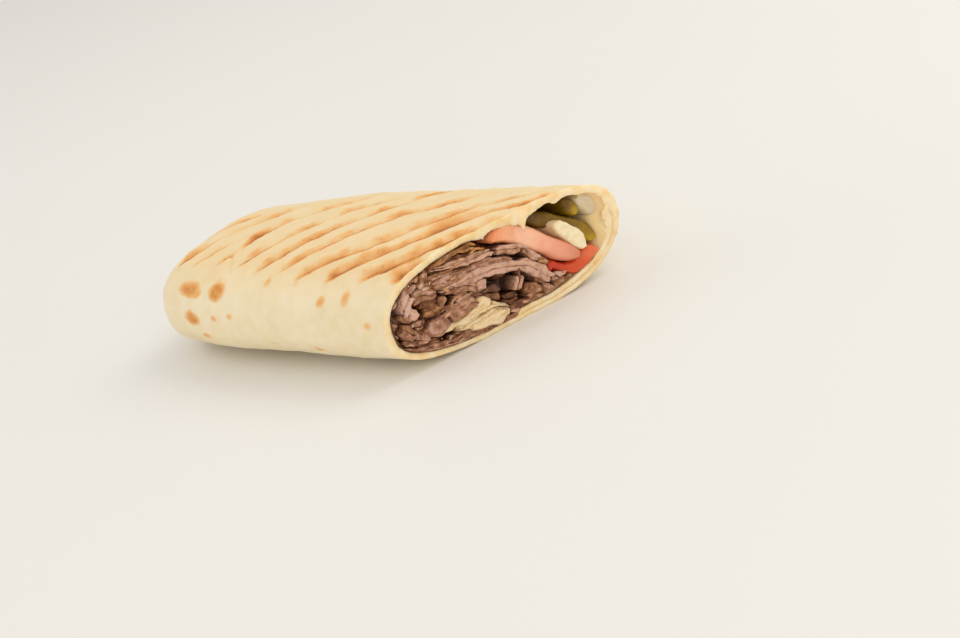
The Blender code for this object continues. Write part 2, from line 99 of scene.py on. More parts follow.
# The grill's marks, as the part's source has them
GRILL_ANGLE = math.radians(55)
GROOVE_EDGE = 1.0        # from the ridge down to a groove's floor, on its sharp side
GROOVE_REACH = 6.5       # how far below the top the grill still presses
STRIPES = (              # along the ribs, across to the sharp edge, width, force
    ((-2, 55, 4, 0), (3, 56.5, 6, 0.7), (9, 56.5, 5.5, 0.7), (14, 56.5, 3, 0)),
    ((-11, 42, 2.5, 0), (-5, 44.5, 5, 0.8), (0, 48, 6, 1), (8, 50.5, 6, 1), (18, 52, 6, 0.9),
     (30, 52, 6, 0.75), (37, 50.5, 5, 0.65), (45, 50, 4, 0)),
    ((-19, 29.5, 2.5, 0), (-12.5, 32, 5, 0.9), (-5, 35.5, 6, 1), (1.5, 37.5, 5.5, 0.9),
     (9, 39, 4.5, 0.6), (16.5, 40.5, 6.5, 0.85), (23, 40.5, 10, 1), (30, 40.5, 10, 1),
     (39, 41.5, 5, 0.65), (44, 45, 4, 0.6), (49, 48, 4, 0.6), (56, 47, 3, 0.4), (65, 44.5, 3, 0)),
    ((-27, 17.5, 3, 0), (-20, 20, 5.5, 0.8), (-10.5, 23, 5.5, 0.8), (0, 27.5, 6, 0.4), (8, 29, 9, 0.45),
     (15.5, 28.5, 9, 0.5), (22.5, 29, 6, 0.6), (30, 30, 5.5, 0.95), (38, 31, 4.5, 0.4),
     (46, 36, 4.5, 0.7), (53, 39, 3, 0.5), (61, 41, 3, 0)),
    ((-31, 7, 3, 0), (-21.5, 9.5, 5, 0.9), (-13.5, 10, 5.5, 0.5), (-6, 10.5, 5.5, 0.6),
     (2, 11, 5.5, 0.75), (10.5, 11, 6, 0.5), (17, 12, 7, 0.8), (26, 15.5, 5, 0.25), (33, 17.5, 5, 0.6),
     (42, 19.5, 4, 0.5), (51, 22, 3, 0)),
    ((-37, -2.5, 3, 0), (-29, -1, 6, 0.75), (-19.5, -1, 6.5, 0.85), (-10, -2, 6, 0.8), (-3, -2, 5.5, 0.9),
     (6, -1, 5, 0.35), (13, -0.5, 6, 0.8), (18.5, -0.5, 5, 0.2), (27, 0, 6, 0.8), (36, -0.5, 5, 0.5),
     (44, -0.5, 4, 0)),
    ((-40, -13, 3, 0), (-33.5, -12.5, 6, 0.95), (-25, -14, 6, 0.6), (-17, -14.5, 5.5, 0.6),
     (-11.5, -14.5, 5, 0.85), (-4.5, -14.5, 4.5, 0.1), (3, -14, 5.5, 0.7), (9.5, -12, 5.5, 0.75),
     (18, -10.5, 4.5, 0.35), (28, -10, 5, 0)),
    ((-46, -22.5, 3, 0), (-41, -23.5, 3, 0.5), (-35, -24.5, 3, 0.1), (-30, -26.5, 5.5, 0.8),
     (-22.5, -29, 6.5, 0.85), (-14, -31, 6, 0.5), (-7.5, -29.5, 5, 0.3), (1, -25.5, 7, 0.6),
     (10, -24, 6, 0.5), (20, -23, 5, 0)),
    ((-53, -34.5, 3, 0), (-46, -33.5, 5, 0.45), (-39, -34, 5, 0.5), (-32, -35, 4, 0.2),
     (-22.5, -37.5, 4, 0)),
    ((-57, -43.5, 4, 0), (-50.5, -42, 6.5, 0.95), (-45, -43, 5, 0.6), (-38.5, -45.5, 3, 0.35),
     (-30, -45.5, 4, 0.45), (-18, -43.5, 8, 0.75), (-5.5, -42.5, 7, 0.5), (5, -42, 5, 0)),
    ((-43, -57, 2.5, 0), (-37, -55.5, 3.5, 0.5), (-26, -54.5, 4, 0.3), (-15, -54, 4, 0)),
)
# Where the ribs toasted the sheet more or less than they pressed it: along the ribs, across,
# radius, by how much
TOASTED = (
    (1.5, 54, 3.5, 0.6), (0, 44, 5, 0.25), (19, 49, 7, 0.75), (25, 38, 5, 0.9), (49, 45.5, 4.5, 2.1),
    (60, 44, 4, 1.8), (3, 26, 6, 0.9), (48, 35, 4, 0.9), (29, 14, 4, 1.7), (-8, 9, 8, 0.5),
    (10, 10, 5, 0.4), (31, -2, 5, 1.1), (13, -2, 4, 0.4), (38, -1.5, 4, 0.8), (-27, -30, 5, 1.3),
    (-3, -28, 4, 0.8), (-24, -56, 5, 1.5), (-40, -57, 4, 0.8), (-54, -45, 4, 0.9), (-50, -35, 3, 0.9),
    (33, 39, 4, -0.35), (-17, 19, 7, -0.4), (-24, -15.5, 4, -0.45), (-18, -2.5, 4, -0.3),
)
UNDER_SPACING = 11.5     # between the stripes of the underside, which the photograph doesn't show

# The drawing of the cut face
FACE_MIDDLE = -0.8
FACE_FLOOR = -0.3
DRIFT_TURN = 5.2         # how the fillings wander inside the roll: turn, then across and up
DRIFT_ACROSS = 0.06
DRIFT_UP = 0.10

# The bread's mesh: rows from the closed end's middle out, along, over the rim and back in
AROUND = 320
SEAM = 0.0004            # points of the sheet that are nearer than this are merged
END_ROWS = 13
SIDE_ROWS = 236
RIM_STEPS = (0.0, 0.08, 0.26, 0.42, 0.51, 0.60, 0.78, 0.94, 1.0)
INNER_DEPTHS = (0.4, 1.0, 1.8, 2.8, 4.2, 6.0, 8.5, 12, 16, 22, 30, 42, 60, 85, 115)

# Marks on the bread's short side: x, z, half length, half height, strength
SPOTS = (
    (-52.0, 27.4, 7.6, 2.2, 1.0), (-36.2, 27.8, 4.6, 2.6, 1.0),
    (-50.4, 19.2, 5.2, 3.0, 0.95), (-36.5, 20.2, 2.8, 1.6, 0.42),
    (-27.8, 21.4, 2.4, 1.6, 0.36), (-44.0, 13.4, 3.6, 1.4, 0.5),
    (16.4, 26.2, 2.6, 1.9, 0.54), (27.2, 27.0, 2.7, 2.6, 0.52),
    (37.6, 20.0, 2.9, 2.0, 0.34), (-12.0, 30.3, 2.4, 1.4, 0.34),
    (11.4, 10.4, 4.6, 1.2, 0.4), (2.0, 30.2, 2.0, 1.0, 0.3),
)
FAR_SPOTS = 12.0         # the far side, which doesn't show, has the same spots at this less x
# Creases of the sheet: from x, y, z to x, y, z, depth, half width
CREASES = (
    (-79.0, -13.0, 6.0, -79.5, 9.0, 27.0, 0.7, 0.6),
    (-79.5, 9.0, 27.0, -77.0, 20.0, 20.0, 0.5, 0.6),
    (-42.0, -17.0, 33.4, -33.0, -28.8, 30.4, 0.9, 0.6),
    (-13.6, -34.6, 28.6, -10.8, -40.4, 21.0, 0.5, 0.5),
    (-22.0, -33.0, 29.0, -19.5, -39.0, 22.0, 0.4, 0.5),
    (-9.9, -40.8, 13.0, -6.8, -37.4, 6.0, 1.1, 0.9),
    (7.2, -41.4, 12.0, 17.0, -39.6, 7.4, 0.8, 0.8),
    (-73.0, -24.0, 21.0, -58.0, -35.0, 23.0, 0.25, 1.2),
)
# Tatters of the rim's inner edge: a, z, half width, push inwards, push out of the cut
TATTERS = (
    (-4.8, 32.2, 2.8, 1.6, 0.0), (4.5, 32.6, 4.5, 1.3, 0.0), (7.9, 31.9, 2.0, 1.5, 0.4),
    (10.9, 31.2, 1.6, 4.9, 2.4), (13.4, 31.0, 1.9, 2.6, 0.3), (17.0, 31.2, 2.2, 1.0, 0.1),
    (41.0, 19.5, 6.0, 2.3, 0.0), (36.6, 6.4, 1.6, 1.6, 0.6), (39.4, 8.0, 1.0, 1.3, 0.9),
    (41.0, 10.2, 0.9, 1.0, 0.5), (-27.5, 31.2, 0.9, 0.8, 0.2), (24.4, 31.4, 1.9, 1.6, -0.2),
    (33.0, 29.4, 1.8, 0.8, -0.2),
)
# The inner layer of bread stands inwards at the long side: a, z, half width, how far, and at
# which depth
FOLD = (40.5, 17.5, 9.0, 4.5, 5.0)

SHORT_SLICE = 8.0        # a slice of meat under this length has torn, rounder ends
CRUMB_START = 9.0        # how far before the cut a crumb starts its way to the meat
CRUMB_DEEPEST = 2.5      # no crumb lies further behind the cut than this

# Slices of meat: stands out, tone (0 seared, 1 pale), warmth, layers, middle line of
# (a, z, half thickness)
MEAT_SLICES = (
    (0.7, 0.5, 0.95, 2, ((-24.9, 29.9, 0.6), (-21, 30.6, 1.0), (-16, 31.2, 1.2), (-11, 30.9, 1.2),
        (-7.2, 29.5, 0.8))),
    (-0.4, 0.36, 0.9, 1, ((-22, 29.1, 0.5), (-17.5, 28.9, 0.8), (-13, 28.0, 0.8), (-9.5, 27.9, 0.6))),
    (-1.6, 0.26, 1.0, 1, ((-25, 28.4, 0.7), (-22, 27.8, 0.9), (-19.5, 27.2, 0.7))),
    (1.0, 0.8, 0.35, 2, ((-24.6, 29.0, 0.35), (-21.5, 28.6, 0.6), (-18.5, 28.1, 0.9), (-15, 27.1, 1.2),
        (-11, 26.5, 1.3), (-7, 26.2, 1.3), (-3.2, 25.5, 0.9))),
    (0.8, 0.55, 1.0, 2, ((-10.5, 27.6, 0.8), (-7.5, 27.9, 1.2), (-4.6, 27.0, 1.0))),
    (0.3, 0.55, 0.35, 2, ((-28.6, 26.2, 0.5), (-24.5, 26.3, 1.0), (-19, 25.7, 1.1), (-13, 24.7, 0.9),
        (-7, 24.2, 0.9), (-2.9, 23.7, 0.8))),
    (0.6, 0.58, 0.2, 2, ((-25.8, 23.9, 1.0), (-20.5, 23.6, 1.5), (-15, 23.2, 1.3), (-9, 22.3, 1.2),
        (-3, 21.9, 1.1), (1, 20.9, 0.9), (3.5, 19.9, 0.4))),
    (0.9, 0.78, 0.05, 2, ((-24, 21.9, 0.5), (-18, 21.2, 0.9), (-12, 20.9, 1.5), (-6, 20.0, 1.7),
        (-1, 18.9, 1.7), (3.5, 17.5, 1.6), (7, 15.4, 1.7), (10, 12.3, 1.7), (12.6, 9.0, 1.6),
        (13.8, 7.4, 1.1))),
    (1.0, 0.75, 0.15, 2, ((-2.9, 24.9, 1.0), (0, 24.6, 1.2), (3.2, 23.3, 1.3), (6, 21.8, 1.2))),
    (0.7, 0.68, 0.2, 2, ((6.9, 21.6, 1.2), (9, 18.8, 1.5), (10.8, 16.8, 1.2), (11.6, 15.6, 0.8))),
    (0.5, 0.6, 0.5, 1, ((11.4, 15.8, 1.2), (12.7, 14.4, 1.7), (13.6, 12.8, 1.2))),
    (-0.2, 0.55, 0.15, 2, ((-40.6, 24.4, 0.8), (-38.6, 25.9, 1.2), (-36.2, 26.9, 1.0))),
    (-0.3, 0.4, 0.3, 1, ((-38, 27.7, 0.6), (-36.4, 28.2, 0.9), (-34.8, 28.6, 0.7))),
    (0.3, 0.58, 0.1, 2, ((-35.6, 26.8, 1.2), (-33.2, 27.4, 1.7), (-30.6, 28.1, 1.5))),
    (0.9, 1.0, 0.15, 2, ((-37.9, 19.3, 1.0), (-37, 21.6, 1.6), (-35.2, 23.7, 1.7),
        (-33.6, 24.6, 1.1))),
    (0.7, 0.62, 0.25, 2, ((-34, 22.6, 1.6), (-31, 22.9, 2.0), (-28, 22.1, 1.8), (-25.2, 21.2, 0.9))),
    (1.3, 0.8, 0.2, 1, ((-36.4, 18.5, 1.2), (-34.9, 18.6, 1.7), (-33.6, 18.7, 1.2))),
    (0.2, 0.42, 0.4, 1, ((-39.2, 19.6, 0.7), (-38, 17.8, 1.0), (-36.2, 16.7, 0.8))),
    (0.8, 0.66, 0.45, 1, ((-29.9, 24.9, 0.5), (-28.8, 26.8, 0.9), (-27.9, 28.9, 0.7))),
    (0.3, 0.45, 0.7, 1, ((-27.6, 26.6, 0.6), (-26.8, 28.2, 0.9), (-25.9, 29.7, 0.6))),
    (0.1, 0.5, 0.5, 1, ((-30.2, 27.4, 0.5), (-29.6, 28.4, 0.7), (-29, 29.3, 0.6))),
    (0.5, 0.5, 0.4, 1, ((-29.2, 24.9, 0.8), (-26.8, 24.9, 1.0), (-24.8, 24.9, 0.7))),
    (-0.5, 0.3, 0.85, 2, ((-31.8, 18.4, 1.3), (-28.5, 18.3, 1.9), (-25.3, 17.9, 1.6))),
    (-0.2, 0.42, 0.8, 2, ((-31.5, 16.1, 0.8), (-28.4, 15.9, 1.1), (-25.2, 15.6, 0.8))),
    (0.3, 0.8, 0.4, 1, ((-35.6, 15.2, 0.6), (-33.4, 15.3, 0.7), (-31.6, 14.8, 0.6))),
    (0.0, 0.5, 0.3, 1, ((-35.4, 13.6, 0.6), (-33.6, 13.5, 0.7), (-32.2, 13.9, 0.4))),
    (0.9, 0.72, 0.0, 1, ((-34, 11.2, 1.2), (-31, 10.8, 2.0), (-27.8, 11.2, 2.4), (-25, 12.1, 2.3))),
    (0.6, 0.44, 0.1, 1, ((-24, 12.6, 2.2), (-20.4, 12.8, 2.1), (-16.6, 12.7, 2.0),
        (-13.6, 12.2, 1.2))),
    (0.2, 0.45, 0.3, 2, ((-36.2, 13.2, 0.8), (-35.2, 11.6, 1.0), (-34.2, 9.8, 0.8))),
    (0.3, 0.58, 0.3, 1, ((-24.9, 15.9, 0.7), (-24, 17.8, 1.1), (-23.1, 19.6, 0.9))),
    (0.5, 0.62, 0.15, 2, ((-22.6, 20.4, 1.0), (-18.5, 20.2, 1.5), (-14.5, 18.9, 1.8),
        (-11, 17.2, 1.5))),
    (0.0, 0.52, 0.25, 2, ((-20.6, 16.3, 1.0), (-17.8, 16.5, 1.3), (-15, 16.2, 1.0))),
    (0.4, 0.85, 0.0, 1, ((-11.6, 17.6, 0.7), (-10, 17, 1.2), (-8.2, 16.3, 1.0))),
    (-1.0, 0.42, 0.5, 2, ((-14.4, 15.6, 0.9), (-11.8, 14.8, 1.2), (-9.6, 14.2, 1.0))),
    (-1.6, 0.35, 0.45, 2, ((-9.8, 13.2, 1.6), (-6.6, 12.2, 2.3), (-3.6, 10.6, 1.8))),
    (-0.6, 0.55, 0.3, 1, ((-42.9, 20, 0.6), (-42.3, 18.2, 0.9), (-41.6, 16.6, 0.7))),
    (0.2, 0.35, 0.2, 1, ((-43.9, 20, 0.35), (-44.5, 17, 0.5), (-44.5, 14, 0.5), (-43.6, 11.4, 0.5),
        (-42, 9.6, 0.4))),
    (-0.8, 0.42, 0.15, 1, ((-43.1, 15.4, 0.5), (-42.8, 13, 0.6), (-41.7, 10.9, 0.5))),
    (0.6, 0.62, 0.15, 2, ((-40.8, 16.4, 1.4), (-39.2, 14.4, 2.0), (-37.4, 12.8, 1.9),
        (-35.9, 11.9, 1.1))),
    (0.2, 0.5, 0.15, 1, ((-40.6, 11.6, 0.6), (-38.8, 10.2, 0.8), (-36.4, 9.3, 0.8),
        (-33.6, 8.9, 0.6))),
    (0.4, 0.6, 0.15, 1, ((-36.6, 11.1, 0.5), (-34.4, 10.1, 0.8), (-32, 9.1, 0.7))),
    (0.5, 0.5, 0.2, 2, ((-42, 9.2, 0.7), (-39.4, 7.7, 1.1), (-35, 5.9, 1.3), (-30, 4.7, 1.3),
        (-25, 3.8, 1.1), (-21, 3.9, 0.9), (-17.4, 4.1, 0.6))),
    (0.1, 0.45, 0.3, 1, ((-22, 4.6, 0.5), (-18, 3.7, 0.8), (-14, 2.7, 0.7), (-11.2, 2.0, 0.5))),
    (0.2, 0.5, 0.25, 1, ((-23.5, 2.9, 0.6), (-19.3, 2.3, 0.9), (-15, 1.7, 0.8), (-11, 1.1, 0.6))),
    (0.2, 0.42, 0.3, 1, ((-11.2, 2.7, 0.6), (-7, 2.4, 0.75), (-1.2, 2.5, 0.9))),
    (-0.2, 0.42, 0.6, 2, ((-35.4, 7.9, 0.9), (-32.4, 7.3, 1.2), (-29.4, 7.0, 0.9))),
    (-0.9, 0.3, 1.0, 1, ((-26, 4.9, 0.7), (-23.4, 5.0, 1.0), (-21.4, 5.4, 0.7))),
    (0.8, 0.95, 0.45, 2, ((0.4, 9.4, 0.6), (1.3, 10.9, 1.0), (2.6, 12.6, 1.15), (2.9, 14.7, 0.6))),
    (-1.4, 0.2, 0.6, 2, ((-3.8, 8.6, 1.2), (-1.4, 7.4, 1.7), (1.4, 7.3, 1.5))),
    (-0.4, 0.35, 0.4, 1, ((-4.2, 4.8, 1.0), (0, 4.7, 1.2), (3.8, 4.6, 1.0))),
    (0.3, 0.58, 0.2, 2, ((3.6, 6.4, 1.5), (6.2, 7.2, 2.2), (9.2, 7.4, 1.8))),
    (0.0, 0.45, 0.3, 1, ((2.6, 4.6, 0.6), (6, 4.3, 0.8), (10, 4.2, 0.7))),
    (0.2, 0.55, 0.2, 1, ((9.6, 6.2, 0.9), (11.2, 5.2, 1.1), (13.4, 4.6, 0.8))),
    (0.5, 0.66, 0.15, 2, ((13.0, 6.4, 1.6), (16, 6.7, 2.1), (19.2, 6.4, 1.4))),
    (0.0, 0.5, 0.3, 1, ((9.5, 4.1, 0.6), (13, 4.5, 0.8), (17, 5.0, 0.8), (20.6, 5.7, 0.6))),
    (1.3, 1.0, 0.2, 1, ((6.3, 13.5, 0.4), (6.9, 13.2, 0.5), (7.5, 12.8, 0.4))),
    (0.1, 0.42, 0.3, 1, ((8.6, 10.9, 0.9), (9.9, 9.4, 1.0), (11, 7.6, 0.8))),
)
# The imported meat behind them, which fills the gaps: recess, half thickness, middle line
MEAT_BACKING = (
    (-3.2, 4.6, ((-38, 22), (-34, 14), (-27, 9))),
    (-3.0, 5.5, ((-33, 24), (-20, 23), (-6, 22), (3, 18))),
    (-3.4, 4.5, ((-32, 15), (-20, 15), (-8, 14))),
    (-7.0, 4.5, ((-12, 14), (0, 12), (9, 9))),
    (-2.6, 1.8, ((-34, 7.4), (-22, 5.4), (-6, 4.6), (10, 5.6), (17, 6.6))),
    (-3.0, 2.4, ((-6, 27), (2, 23), (8, 17), (12, 12))),
)

# Folds of lettuce: stands out, middle line of (a, z, half thickness)
LEAVES = (
    (0.5, ((-27.6, 8.5, 0.35), (-23, 8.6, 0.9), (-18.5, 8.9, 1.4), (-14, 9.6, 1.9), (-11, 10.4, 2.0),
        (-8.8, 9.7, 1.1))),
    (0.1, ((-23.4, 6.6, 0.8), (-20, 6.9, 1.6), (-15.5, 7.3, 1.7), (-11, 7.6, 1.6), (-7.4, 7.6, 1.3),
        (-5, 6.6, 0.8))),
    (0.9, ((-18.5, 5.1, 0.7), (-14, 4.8, 1.5), (-9.5, 4.6, 1.8), (-6, 4.6, 1.8), (-3.8, 4.6, 1.1))),
    (-0.1, ((-14, 3.3, 0.4), (-9, 3.1, 0.7), (-5.4, 3.3, 0.7), (-4, 3.4, 0.3))),
    (0.9, ((-8.4, 9.6, 0.3), (-6.6, 8.3, 0.4), (-5, 7.6, 0.35), (-4.1, 6.2, 0.3))),
    (0.8, ((-7.8, 7.2, 0.25), (-5.9, 6.4, 0.35), (-4.4, 5.0, 0.25))),
)

# Tomato, pickle, onion and fry: stands out, turn, middle line of (a, z, half thickness).
# A turn brings the line's end forward, in mm for each mm of its length.
TOMATO_1 = (0.6, 0.0, ((-2.3, 28.3, 0.8), (0.5, 29.0, 2.2), (4.2, 28.4, 3.0), (8, 26.1, 3.5),
                       (12, 22.5, 3.5), (15.5, 19.1, 3.1), (19.6, 15.2, 3.3), (23.1, 12.5, 2.8),
                       (25.9, 10.6, 1.6)))
TOMATO_2 = (-0.2, 0.0, ((13.6, 9.4, 0.8), (15.4, 11.6, 1.7), (17.6, 10.1, 1.6), (20.5, 8.0, 2.0),
                        (24.5, 7.0, 2.6), (28.3, 8.5, 3.2), (31, 8.9, 2.9), (33.3, 8.2, 1.3)))
FRY = (1.0, 0.0, ((21.2, 24.6, 1.2), (22.0, 22.4, 2.0), (23.8, 19.8, 2.3), (25.8, 17.2, 2.6),
                  (27.0, 14.4, 2.1), (27.6, 11.8, 0.9)))
PICKLE_1 = (-2.6, 0.11, ((14.8, 28.8, 1.0), (17.4, 27.2, 2.3), (20.6, 25.5, 2.7), (23.6, 23.5, 2.3),
                         (26.7, 21.5, 2.0), (29.7, 18.9, 2.3), (31.8, 16.3, 2.6), (32.9, 13.7, 2.3),
                         (33.3, 12.0, 1.2)))
PICKLE_2 = (-2.5, 0.0, ((27.4, 28.6, 1.0), (29.4, 26.8, 2.2), (30.8, 24.6, 2.2), (31.8, 22.6, 1.3)))
ONION = (-2.6, 0.0, ((33.0, 27.6, 1.6), (35.4, 25.6, 3.0), (37.8, 22.6, 3.4), (39.6, 19.2, 2.2)))
# How far into the roll each step of a filling lies that runs right through it
THROUGH = (0.0, 0.6, 1.6, 3.2, 5.5, 9.0, 14.0, 22.0, 38.0, 60.0, 90.0, 122.0)

# Camera, found by matching the roll's outline in the photograph
CAMERA_PLACE = (509.8, -453.3, 259.7)
CAMERA_TURN = (67.0, 18.24, 38.21)
CAMERA_LENS = 80.5
FLOOR = 3.0              # half the floor's side, in metres
# Lights: name, place and side in metres, colour
LIGHTS = (("key", (0.35, 0.55, 0.75), 0.7, "#FFF7EA"), ("fill", (0.75, -0.65, 0.42), 0.9, "#FFFBF4"),
          ("side", (-0.7, -0.4, 0.5), 0.8, "#F6F9FF"))
SIDE_LIGHT = 0.6         # the side light's power, as a share of the fill light's


def linear(code):
    """An sRGB hex colour as linear red, green and blue."""
    parts = [int(code[i:i + 2], 16) / 255 for i in (1, 3, 5)]
    return tuple(c / 12.92 if c <= 0.04045 else ((c + 0.055) / 1.055) ** 2.4 for c in parts)


def ease(t):
    """Smooth step from 0 to 1."""
    t = min(1.0, max(0.0, t))
    return t * t * (3 - 2 * t)


def bump(distance, width):
    """1 at distance 0, falling softly to 0 beyond about two widths."""
    return math.exp(-(distance / width) ** 2)


def rough(x, y, z, size):
    """Signed noise whose lumps are about size mm."""
    return noise.noise(Vector((x, y, z)) / size)


def signed_power(value, power):
    """The value's size raised to the power, with the value's sign."""
    return math.copysign(abs(value) ** power, value)


def dome(x, left):
    """Share of the section's full size at x, which falls to left at the closed end."""
    back = max(0.0, 1 - x / END_ROUND)
    return left + (1 - left) * math.sqrt(1 - back * back)


def section(s):
    """Half width, height and middle height of the roll at station s, 0 to 1."""
    x = s * MIDDLE
    grow = 1 - (1 - min(1.0, x / TAPER)) ** 2
    width = END_WIDTH + (WIDTH - END_WIDTH) * grow
    height = END_HEIGHT + (HEIGHT - END_HEIGHT) * grow
    half = width / 2 * dome(x, END_FLAT_WIDTH)
    return half, height * dome(x, END_FLAT_HEIGHT), height / 2


def along(s, y):
    """x of station s at y: square at the closed end, slanted at the cut."""
    return s * (MIDDLE + SLANT * y / (WIDTH / 2))


def crown(s, r):
    """The exponent of the outline's curve at station s, above or below its middle."""
    if r > 0:
        return CROWN_TOP
    return CROWN_INNER + (CROWN_BOTTOM - CROWN_INNER) * ease(2 * s - 1)


def outline(s, angle):
    """A point of the section's outline, as shares of its half sizes."""
    c, up = math.cos(angle), math.sin(angle)
    power = 2 / crown(s, up)
    q, r = signed_power(c, power), signed_power(up, power)
    return q, max(-1.0, r * SAG) if r < 0 else r


def grill_mark(x, y):
    """How the grill has marked the sheet at x, y: its press, its browning, and
    how far the sheet swells along the sharp edge of a groove."""
    x -= LONG_SIDE / 2
    run = x * math.cos(GRILL_ANGLE) + y * math.sin(GRILL_ANGLE)
    across = x * math.sin(GRILL_ANGLE) - y * math.cos(GRILL_ANGLE)
    across += 0.3 * rough(x, y, 1.0, 4.5) + 0.12 * rough(x, y, 2.0, 1.6)
    torn = 1.2 * rough(x, y, 6.0, 4.2) + 0.4 * rough(x, y, 5.0, 1.7)
    hold = brown = swollen = 0.0
    for stripe in STRIPES:
        if not stripe[0][0] <= run < stripe[-1][0]:
            continue
        for (start, *before), (end, *after) in zip(stripe, stripe[1:]):
            if start <= run < end:
                share = (run - start) / (end - start)
                edge, width, force = (b + (a - b) * share for b, a in zip(before, after))
                into = edge - across
                far = ease((width - into) / width * 2)
                strong = math.sqrt(force)
                hold = max(hold, strong * ease(into / GROOVE_EDGE) * far)
                fade = min(1.0, max(0.0, (1.43 * width + 1.3 * torn - into) / (1.4 * width)))
                line = 1.02 + 0.7 * bump(into - 0.5, 1.7)
                brown = max(brown, line * force ** 1.1 * ease((into + 2.0) / 0.8) * fade)
                swollen = max(swollen, strong * bump(into + 1.9, 1.6))
    if brown:
        brown *= 1 + sum(more * bump(math.hypot(run - at, across - beside), radius)
                         for at, beside, radius, more in TOASTED)
    return hold, brown, swollen


def lumps(x, y, z):
    """Height of the bread's broad lumps, 0 to 1."""
    total = sum(wave[0] for wave in LUMP_WAVES)
    high = sum(share * math.sin(kx * x + ky * y + kz * z + start)
               for share, kx, ky, kz, start in LUMP_WAVES)
    return 0.5 + high / total / 2


def lean(q, r):
    """How far a point of the section is shifted up, or down by the short side, in mm."""
    return LEAN * q * (1 - r * r)


def bread_outside(s, angle, groove_depth):
    """A point of the bread's outer face."""
    q, r = outline(s, angle)
    half, height, middle = section(s)
    y, z = q * half, middle + r * height / 2 + lean(q, r)
    x = along(s, y)
    swell = LUMP * lumps(x, y, z) * ease((r + 0.98) / 0.3) * ease(s * MIDDLE / 9)
    y += q * swell
    z += r * swell
    topside = ease((z - (HEIGHT - GROOVE_REACH)) / (GROOVE_REACH * 0.7))
    if topside:
        z -= groove_depth * grill_mark(x, y)[0] * topside
    rim = TRIM * math.sin(5 * angle + 1) * ease((s - 0.97) / 0.03)
    return Vector((x + rim, y, z))


def second_layer(q, r):
    """Share of the hollow's radius that the second layer of bread takes."""
    turn = math.degrees(math.atan2(r, q))
    on = ease((turn - SECOND_FROM) / 5) * ease((SECOND_TO - turn) / 8)
    reach = math.hypot(HOLLOW_WIDE * q, HOLLOW_HIGH * r)
    return on * SECOND_LAYER / max(reach, 1.0)


def hollow(s, q, r):
    """A point of the hollow at station s, from shares of its half sizes."""
    half, height, middle = section(s)
    y = q * (half - WALL)
    return Vector((along(s, y), y, middle + r * (height / 2 - WALL) + lean(q, r)))


def gauge(q, r, s=1.0):
    """1 on the hollow's wall at station s, less inside."""
    power = crown(s, r)
    return (abs(q) ** power + abs(r) ** power) ** (1 / power)


def shares(a, z):
    """A point of the cut face's drawing, as shares of the hollow."""
    q = (a - FACE_MIDDLE) * math.cos(CUT_ANGLE) / HOLLOW_WIDE
    flat = r = (z - FACE_FLOOR - HEIGHT / 2) / HOLLOW_HIGH
    for _ in range(4):
        r = flat - lean(q, r) / HOLLOW_HIGH
    return q, r


def drawn(q, r):
    """The reverse of shares."""
    a = q * HOLLOW_WIDE / math.cos(CUT_ANGLE) + FACE_MIDDLE
    return a, r * HOLLOW_HIGH + lean(q, r) + FACE_FLOOR + HEIGHT / 2


def held_in(q, r, room):
    """The point, or the nearest one inwards that keeps room to the bread."""
    over = gauge(q * HOLLOW_WIDE / (HOLLOW_WIDE - room),
                 r * HOLLOW_HIGH / (HOLLOW_HIGH - room)) / (1 - second_layer(q, r))
    return (q / over, r / over) if over > 1 else (q, r)


def drift(s, q, r):
    """Fillings keep to the section's outline, and wander together inside it."""
    tight = gauge(q, r) / gauge(q, r, s)
    q, r = q * tight, r * tight
    loose = max(0.0, 1 - gauge(q, r, s) ** 2)
    swing = loose * math.sin(DRIFT_TURN * (1 - s))
    return q + DRIFT_ACROSS * swing, r - DRIFT_UP * swing * q


def packed(a, z, depth, room):
    """A point of a filling: drawn at a, z on the cut face, depth mm into the roll."""
    s = 1 - depth / MIDDLE
    return hollow(s, *drift(s, *held_in(*shares(a, z), room)))


def new_material(name):
    """An empty node tree with a Principled shader on its output."""
    material = bpy.data.materials.new(name)
    material.use_nodes = True
    return material, material.node_tree, material.node_tree.nodes["Principled BSDF"]


def opaque(colour):
    """A linear colour, or an sRGB hex code, as linear red, green, blue and alpha."""
    return (*(linear(colour) if isinstance(colour, str) else colour), 1)


def connect(tree, node, sockets):
    """Gives each input of a node, by name or number, a value, a colour's hex code or the
    output that feeds it."""
    for name, value in sockets.items():
        if isinstance(value, bpy.types.NodeSocket):
            tree.links.new(value, node.inputs[name])
        else:
            node.inputs[name].default_value = opaque(value) if isinstance(value, str) else value


def add_node(tree, kind, sockets=None, stops=(), out=0, **settings):
    """Adds a shader node and returns its output that out names or numbers.

    stops gives a colour ramp its (position, colour) pairs.
    """
    node = tree.nodes.new("ShaderNode" + kind)
    for name, value in settings.items():
        setattr(node, name, value)
    connect(tree, node, sockets or {})
    for number, (position, colour) in enumerate(stops):
        ramp = node.color_ramp.elements
        stop = ramp[number] if number < 2 else ramp.new(position)
        stop.position, stop.color = position, opaque(colour)
    return node.outputs[out]


def set_surface(tree, shader, colour, bumps, roughness, ior, enters, reach, coat=(0.0, 0.03)):
    """Sets a moist or baked food's shader.

    bumps gives the relief as (height, strength, depth in mm), enters is the share of the
    light that goes in, reach how many mm its red, green and blue go, and coat the wet
    film's weight and roughness.
    """
    relief = {}
    for height, strength, depth in bumps:
        relief["Normal"] = add_node(
            tree, "Bump", {"Strength": strength, "Distance": depth * MM, "Height": height, **relief})
    connect(tree, shader, {
        "Base Color": colour, "Roughness": roughness, "IOR": ior, "Subsurface Weight": enters,
        "Subsurface Radius": reach, "Subsurface Scale": MM, "Coat Weight": coat[0],
        "Coat Roughness": coat[1], **relief})


